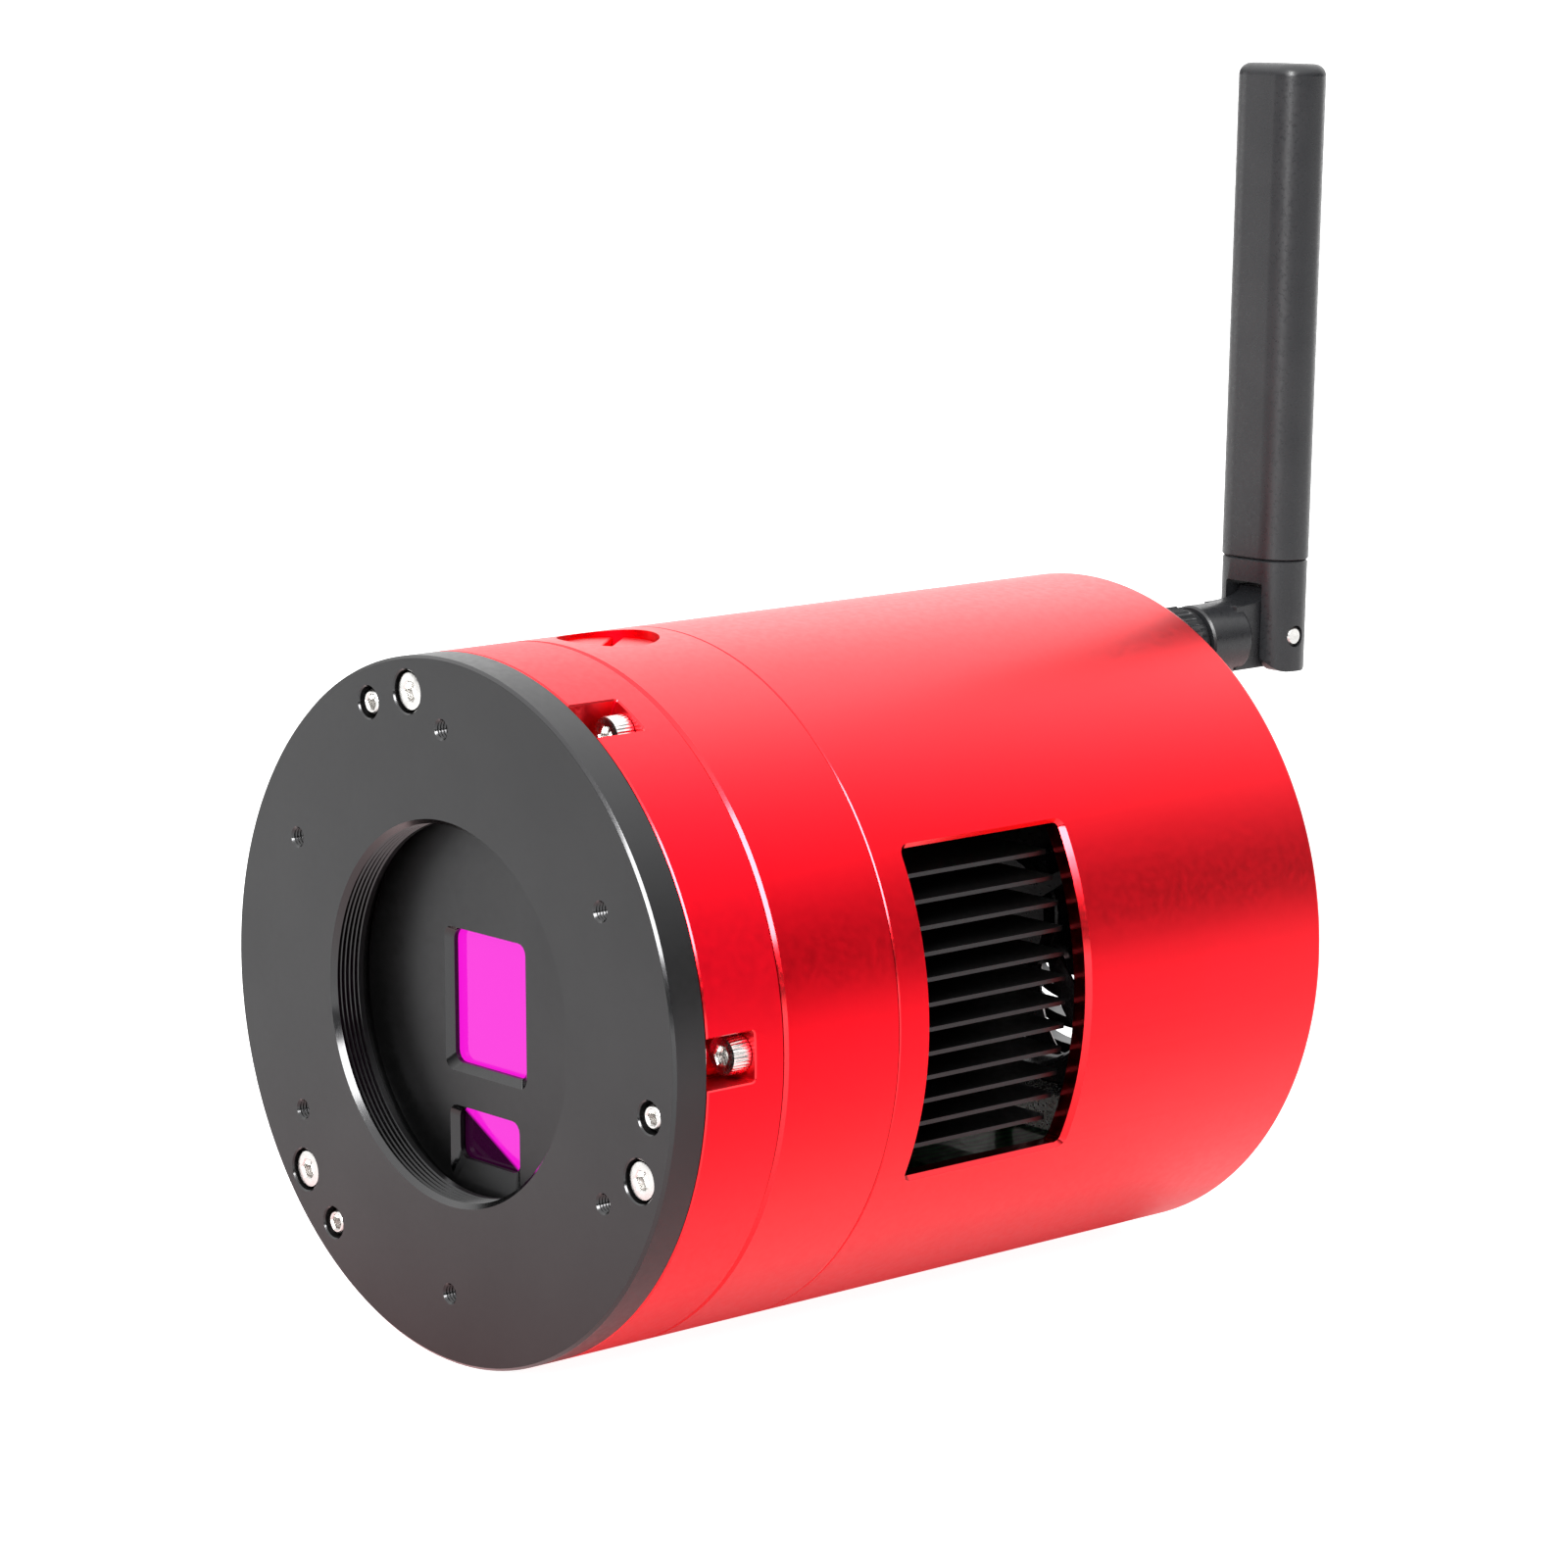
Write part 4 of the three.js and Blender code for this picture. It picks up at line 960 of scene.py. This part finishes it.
def rear_cover():
    """The rear plate with its grille, its sockets' openings and the seats of its screws."""
    low, pad, rim, bevel = COVER.low.y, COVER.high.y, COVER.high.x, 0.25
    face = pad - REAR_PAD["height"]
    radius, width, arcs = REAR_PAD["radius"], GRILLE["width"], GRILLE["arcs"]
    profile = [(0, low), (rim, low), (rim, face - 0.4), (rim - 0.4, face)]
    profile += [(radius + 0.05, face), (radius, face + 0.05), (radius, pad - 0.15)]
    profile += [(radius - 0.15, pad), (0, pad)]
    obj = make("rear_cover_detailed", revolve(profile, TURN_STEPS))
    levels = [(low - 1, 0), (face - bevel, 0), (face + 1, 1 + bevel)]
    tools = []
    for inner in GRILLE["radii"]:
        span = 360 / arcs - math.degrees(GRILLE["rib"] / (inner + width / 2))
        tools += [arc_slot(inner, width, 360 / arcs * i, span, levels) for i in range(arcs)]
    for node, (*_, corner) in SOCKETS.items():
        tools.append(port_tool(node, corner, levels))
    for node in ("power_jack", "power_button", "status_light_pipe"):
        box = Box(node)
        tools.append(through(box.middle.x, box.middle.z, box.size.x / 2 + 0.3, levels))
    connector = Box("antenna_connector").middle
    tools.append(through(connector.x, connector.z, CONNECTOR["thread"] + 0.3, levels))
    depth, wider = COVER_SEAT["depth"], COVER_SEAT["wider"]
    seat = [(low - 1, 0), (face - depth, 0), (face - depth, wider), (face - 0.2, wider),
            (face + 1, wider + 1.2)]
    for node in numbered("fan_screw", 4) + numbered("cover_screw", 4):
        spot = Box(node).middle
        tools.append(through(spot.x, spot.z, COVER_SEAT["hole"], seat))
    boolean(obj, merged(*tools))
    return publish(obj, "rear_cover")


def port_tool(node, corner, levels):
    box = Box(node)
    middle = (box.middle.x, box.middle.z)
    return rounded_prism(box.size.x + 0.6, box.size.z + 0.6, corner, levels, middle=middle)


def socket(node):
    """A folded sheet shell with its contact tongue."""
    corner, tongue_height, tongue_width, _ = SOCKETS[node]
    box, wall = Box(node), SOCKET_WALL
    width, height, front, back = box.size.x, box.size.z, box.low.y, box.high.y
    place = (box.middle.x, box.middle.z)
    body = [(front, 0), (back - 0.15, 0), (back, -0.15)]
    inside = [(front + 2, 0), (back - 0.3, 0), (back + 1, 0.5)]
    tongue = [(front + 1.5, 0), (back - 1.6, 0), (back - 1.4, -0.2)]
    obj = make(node + "_shell", rounded_prism(width, height, corner, body, middle=place))
    boolean(obj, rounded_prism(width - 2 * wall, height - 2 * wall, max(corner - wall, 0.2), inside,
                               middle=place))
    boolean(obj, rounded_prism(tongue_width, tongue_height, tongue_height * 0.3, tongue,
                               middle=place), "UNION")
    return publish(obj, node)


def power_jack():
    box = Box("power_jack")
    x, z, rim, front, back = box.middle.x, box.middle.z, box.size.x / 2, box.low.y, box.high.y
    profile = [(0, front), (rim, front), (rim, back - 0.2), (rim - 0.2, back), (rim - 0.6, back)]
    profile += [(rim - 0.8, back - 0.2), (rim - 0.8, front + 2), (1, front + 2), (1, back - 1.4)]
    profile += arc(0.6, back - 1.4, 0.4, 0, 90, 3) + [(0, back - 1)]
    return publish(make("power_jack_detailed", revolve(profile, 48, x, z)), "power_jack")


def button_and_light():
    box = Box("power_button")
    x, z, rim, front, back = box.middle.x, box.middle.z, box.size.x / 2, box.low.y, box.high.y
    profile = [(0, front), (rim, front)] + arc(rim - 0.5, back - 0.5, 0.5, 0, 90, 4)
    profile += [(rim * 0.45, back - 0.12), (0, back - 0.25)]
    publish(make("power_button_cap", revolve(profile, 48, x, z)), "power_button")
    box = Box("status_light_pipe")
    x, z, rim, front, back = box.middle.x, box.middle.z, box.size.z / 2, box.low.y, box.high.y
    profile = [(0, front), (rim, front), (rim, back - 0.4)]
    profile += [(rim * 0.7, back - 0.1), (0, back)]
    publish(make("light_pipe_lens", revolve(profile, 32, x, z)), "status_light_pipe")


# ---- Antenna ----
PIVOT = Box("hinge_pin").middle
LEAN = math.radians(1.8)


def oval(width, depth, z, steps=10):
    """An oval ring of points at height z about the antenna's own axis: flat sides, round ends."""
    corner = depth / 2 - 0.35
    outline = rounded_outline(width, depth, corner, steps)
    return [(u, v, z) for u, v in outline]


def on_antenna(shape):
    """From drawn upright about the pivot to its place in the frame."""
    return moved(shape, Matrix.Translation(PIVOT) @ Matrix.Rotation(-LEAN, 4, "X"))


def antenna_blade():
    width, depth, top, rounding = BLADE["width"], BLADE["depth"], BLADE["top"], BLADE["rounding"]
    start = FORK["top"] + 0.1
    rings = [oval(width - 0.5, depth - 0.5, start), oval(width, depth, start + 0.25)]
    for i in range(8):
        angle = math.pi / 2 * i / 7
        shrink = 2 * rounding * (1 - math.cos(angle))
        rings.append(oval(width - shrink, depth - shrink, top - rounding + rounding * math.sin(angle)))
    return publish(make("antenna_blade_detailed", on_antenna(loft(rings))), "antenna_blade", crease=50)


def antenna_fork():
    width, depth, slot, corner = FORK["width"], FORK["depth"], FORK["slot"], FORK["corner"]
    ceiling, bottom, top = FORK["ceiling"], FORK["bottom"], FORK["top"]
    body = loft([oval(width, depth, -bottom), oval(width, depth, top - 0.25),
                 oval(width - 0.5, depth - 0.5, top)])
    obj = make("antenna_fork_detailed", on_antenna(body))
    height = top + bottom + corner
    side = rounded_prism(depth + 0.02, height, corner, [(-width, 0), (width, 0)], axis="x",
                         middle=(0, height / 2 - bottom), steps=8)
    boolean(obj, on_antenna(side), "INTERSECT")
    levels = [(-bottom - 1, 0), (ceiling - 0.3, 0), (ceiling, -0.3)]
    boolean(obj, on_antenna(rounded_prism(slot, 2 * depth, 0.3, levels, axis="z")))
    boolean(obj, on_antenna(cross_rod(PIN["hole"], -PIN["reach"], PIN["reach"])))
    return publish(obj, "antenna_fork", crease=40)


def cross_rod(radius, start, stop, round_ends=0.0):
    """A rod along X between two x values."""
    profile = [(0, start), (radius - round_ends, start), (radius, start + round_ends)]
    profile += [(radius, stop - round_ends), (radius - round_ends, stop), (0, stop)]
    return moved(revolve(profile, 40), Matrix.Rotation(-math.pi / 2, 4, "Z"))


def knuckle_outline(start, barrel_top):
    """The knuckle's outline in y and z from the pivot: its front sweeps up from the barrel."""
    front, rise, tip, curve = (KNUCKLE[key] for key in ("front", "rise", "tip", "curve"))
    points = [(start, -tip)]
    points += [(tip * math.sin(math.pi / 2 * i / 10), -tip * math.cos(math.pi / 2 * i / 10))
               for i in range(11)]
    points += bezier((tip, rise - curve), (tip, rise), (tip - curve, rise))
    points += bezier((-front, rise), (-front, barrel_top), (start, barrel_top), 12)
    return points


def bezier(a, b, c, steps=8):
    points = []
    for i in range(steps + 1):
        t = i / steps
        points.append(tuple((1 - t) ** 2 * p + 2 * t * (1 - t) * q + t * t * r
                            for p, q, r in zip(a, b, c)))
    return points


def antenna_elbow():
    """A round barrel on a neck inside the nut, and the knuckle that carries the hinge pin."""
    box = Box("antenna_elbow")
    nut_rear, rear = Box("antenna_nut").high.y, FRONT + ELBOW["rear"]
    neck, radius, rounding, half = ELBOW["neck"], box.size.x / 2, ELBOW["rounding"], KNUCKLE["half_width"]
    profile = [(0, box.low.y), (neck, box.low.y), (neck, nut_rear + 0.2)]
    profile += [(radius - 0.3, nut_rear + 0.2), (radius, nut_rear + 0.5)]
    profile += arc(radius - rounding, rear - rounding, rounding, 0, 90, 4) + [(0, rear)]
    obj = make("antenna_elbow_detailed", revolve(profile, 72, PIVOT.x, PIVOT.z))
    outline = knuckle_outline(rear - 2 - PIVOT.y, radius - 0.3)
    knuckle = make("knuckle", loft([[(u, y, v) for y, v in outline] for u in (-half, half)]))
    bevelled(knuckle, 0.25, 2, 50)
    shape = ([v.co / MM for v in knuckle.data.vertices],
             [list(f.vertices) for f in knuckle.data.polygons])
    bpy.data.objects.remove(knuckle)
    boolean(obj, moved(shape, Matrix.Translation(PIVOT)), "UNION")
    hole = cross_rod(ELBOW["pin_hole"], -PIN["reach"], PIN["reach"])
    boolean(obj, moved(hole, Matrix.Translation(PIVOT)))
    return publish(obj, "antenna_elbow", crease=35)


def antenna_nut():
    """The knurled collar that locks the antenna to its connector."""
    box = Box("antenna_nut")
    front, back, radius = box.low.y, box.high.y, box.size.x / 2
    bore, mouth, lip = NUT["bore"], NUT["bore"] + NUT["lip"], NUT["lip"]
    profile = [(bore, front + lip), (mouth, front), (radius - 0.6, front)]
    profile += arc(radius - 0.5, front + 0.6, 0.5, -90, 0, 3)
    profile += [(radius, front + 1.2), (radius, back - 2.2), (radius - 0.7, back - 1.8)]
    profile += [(radius - 0.7, back - 0.5), (radius - 1.1, back), (mouth, back), (bore, back - lip)]
    ripple = (NUT["knurls"], NUT["knurl_depth"], front + 1.1, back - 2.1)
    shape = revolve(profile, 240, box.middle.x, box.middle.z, ripple)
    return publish(make("antenna_nut_knurled", shape), "antenna_nut", crease=40)


def antenna_connector():
    """A threaded socket on a flange behind the rear cover, with its centre contact."""
    box = Box("antenna_connector")
    front, back, flange = box.low.y, box.high.y, box.size.x / 2
    ridge, contact, floor_y = CONNECTOR["ridge"], CONNECTOR["contact"], box.high.y - CONNECTOR["depth"]
    core, socket_radius = CONNECTOR["thread"] - ridge, CONNECTOR["socket"]
    step = COVER.low.y - 0.3
    profile = [(0, front), (flange - 0.2, front), (flange, front + 0.2), (flange, step), (core, step)]
    profile += thread(core, ridge, step + 0.3, back - 0.6, CONNECTOR["pitch"])
    profile += [(core, back - 0.5), (core - 0.3, back)]
    profile += [(socket_radius, back), (socket_radius - 0.1, floor_y), (contact, floor_y)]
    profile += [(contact, back - 0.8), (contact - 0.25, back - 0.5), (0, back - 0.5)]
    shape = revolve(profile, 72, box.middle.x, box.middle.z)
    return publish(make("antenna_connector_threaded", shape), "antenna_connector")


def hinge_pin():
    half = Box("hinge_pin").size.x / 2
    rod = cross_rod(PIN["radius"], -half, half, PIN["rounding"])
    return publish(make("hinge_pin_detailed", on_antenna(rod)), "hinge_pin")


# ---- Studio ----
def world():
    """White to the camera; to all other rays a room that is bright above and dark at the horizon."""
    setting = bpy.data.worlds.new("studio")
    bpy.context.scene.world = setting
    setting.use_nodes = True
    tree = setting.node_tree
    tree.nodes.clear()
    way = wired(tree, "TexCoord", {}).outputs["Generated"]
    height = wired(tree, "SeparateXYZ", {"Vector": way}).outputs["Z"]
    ramp = wired(tree, "ValToRGB", {"Fac": height})
    elements = ramp.color_ramp.elements
    for index, (position, level) in enumerate(ROOM_LEVELS):
        element = elements[index] if index < 2 else elements.new(position)
        element.position = position
        element.color = (level, level, level, 1)
    room = wired(tree, "Background", {"Color": ramp.outputs["Color"], "Strength": ROOM_LIGHT})
    white = wired(tree, "Background", {"Color": (1, 1, 1, 1), "Strength": 1.0})
    seen = wired(tree, "LightPath", {}).outputs["Is Camera Ray"]
    mix = wired(tree, "MixShader", {"Fac": seen, 1: room.outputs["Background"],
                                    2: white.outputs["Background"]})
    wired(tree, "OutputWorld", {"Surface": mix.outputs["Shader"]})


def softbox(name, azimuth, elevation, distance, width, height, power):
    """A soft light on a sphere round the object; azimuth 0 is in front (-Y) and 90 is at +X."""
    light = bpy.data.lights.new(name, "AREA")
    light.shape = "RECTANGLE"
    light.size, light.size_y = width, height
    light.energy = power
    lamp = bpy.data.objects.new(name, light)
    bpy.context.scene.collection.objects.link(lamp)
    a, e = math.radians(azimuth), math.radians(elevation)
    way = Vector((math.sin(a) * math.cos(e), -math.cos(a) * math.cos(e), math.sin(e)))
    target = Vector((0, FRONT / 2 * MM, 0))
    lamp.location = target + way * distance
    lamp.rotation_euler = (-way).to_track_quat("-Z", "Y").to_euler()
    return lamp


def floor():
    """A pale floor, overexposed to the camera as on a white product backdrop; in reflections its glow
    near the middle carries painted red light from the body.
    """
    bpy.ops.mesh.primitive_plane_add(size=40, location=(0, 0, -RADIUS * MM))
    plane = bpy.context.object
    plane.name = "studio_floor"
    finish = Finish("studio_floor", (0.45, 0.45, 0.45), 0.9, specular_ior_level=0.0)
    finish.vary_color(finish.spread(finish.noise(3, 2)), (0.47, 0.47, 0.47))
    seen = finish.node("LightPath", {}).outputs["Is Camera Ray"]
    distance = finish.node("VectorMath", {0: finish.place}, operation="LENGTH").outputs["Value"]
    # plain is 0 near the middle, where the emission gets the painted red light from the body
    plain = finish.math("MAXIMUM", finish.ramp(distance, *FLOOR_PAINTED_RED_REACH), seen)
    finish.set("Emission Color", finish.blend(plain, FLOOR_PAINTED_RED_LIGHT, (1, 1, 1)))
    finish.set("Emission Strength", finish.ramp(seen, 0, 1, *FLOOR_GLOW))
    plane.data.materials.append(finish.material)


def camera():
    """A long lens that looks from the front right and a little above."""
    data = bpy.data.cameras.new("view")
    data.sensor_width = 36
    data.lens = 114.67
    data.clip_start = 0.05
    eye = bpy.data.objects.new("view", data)
    bpy.context.scene.collection.objects.link(eye)
    right = Vector((0.65116, 0.75893, -0.00299))
    up = Vector((-0.13495, 0.11965, 0.98360))
    back = right.cross(up).normalized()
    up = back.cross(right).normalized()
    turn = Matrix((right.normalized(), up, back)).transposed().to_4x4()
    eye.matrix_world = Matrix.Translation((0.54237, -0.52639, 0.15589)) @ turn
    bpy.context.scene.camera = eye


def carried_over():
    """CAD nodes that keep their own shape get the finish of their slot."""
    for node, obj in frame["nodes"].items():
        if not obj.hide_render:
            obj.data.materials.clear()
            obj.data.materials.append(MATERIALS[SLOT_OF[node]])


def build():
    tilt_plate()
    screws()
    front_housing()
    mid_housing()
    desiccant_plug()
    rear_tube()
    sensor_mask()
    window()
    heat_sink()
    fan()
    rear_cover()
    for node in SOCKETS:
        socket(node)
    power_jack()
    button_and_light()
    antenna_connector()
    antenna_nut()
    antenna_elbow()
    antenna_fork()
    antenna_blade()
    hinge_pin()
    carried_over()


build()
world()
floor()
softbox("key", 33, 32, 1.3, 0.36, 0.9, 25)
softbox("back", 207, 13, 1.3, 1.9, 0.85, 5)
softbox("front_left", -62, 5, 1.4, 0.8, 0.8, 2.5)
camera()
bpy.context.scene.view_settings.view_transform = "Standard"


def plain(bounds):
    return [[round(value, 6) for value in corner] for corner in bounds]
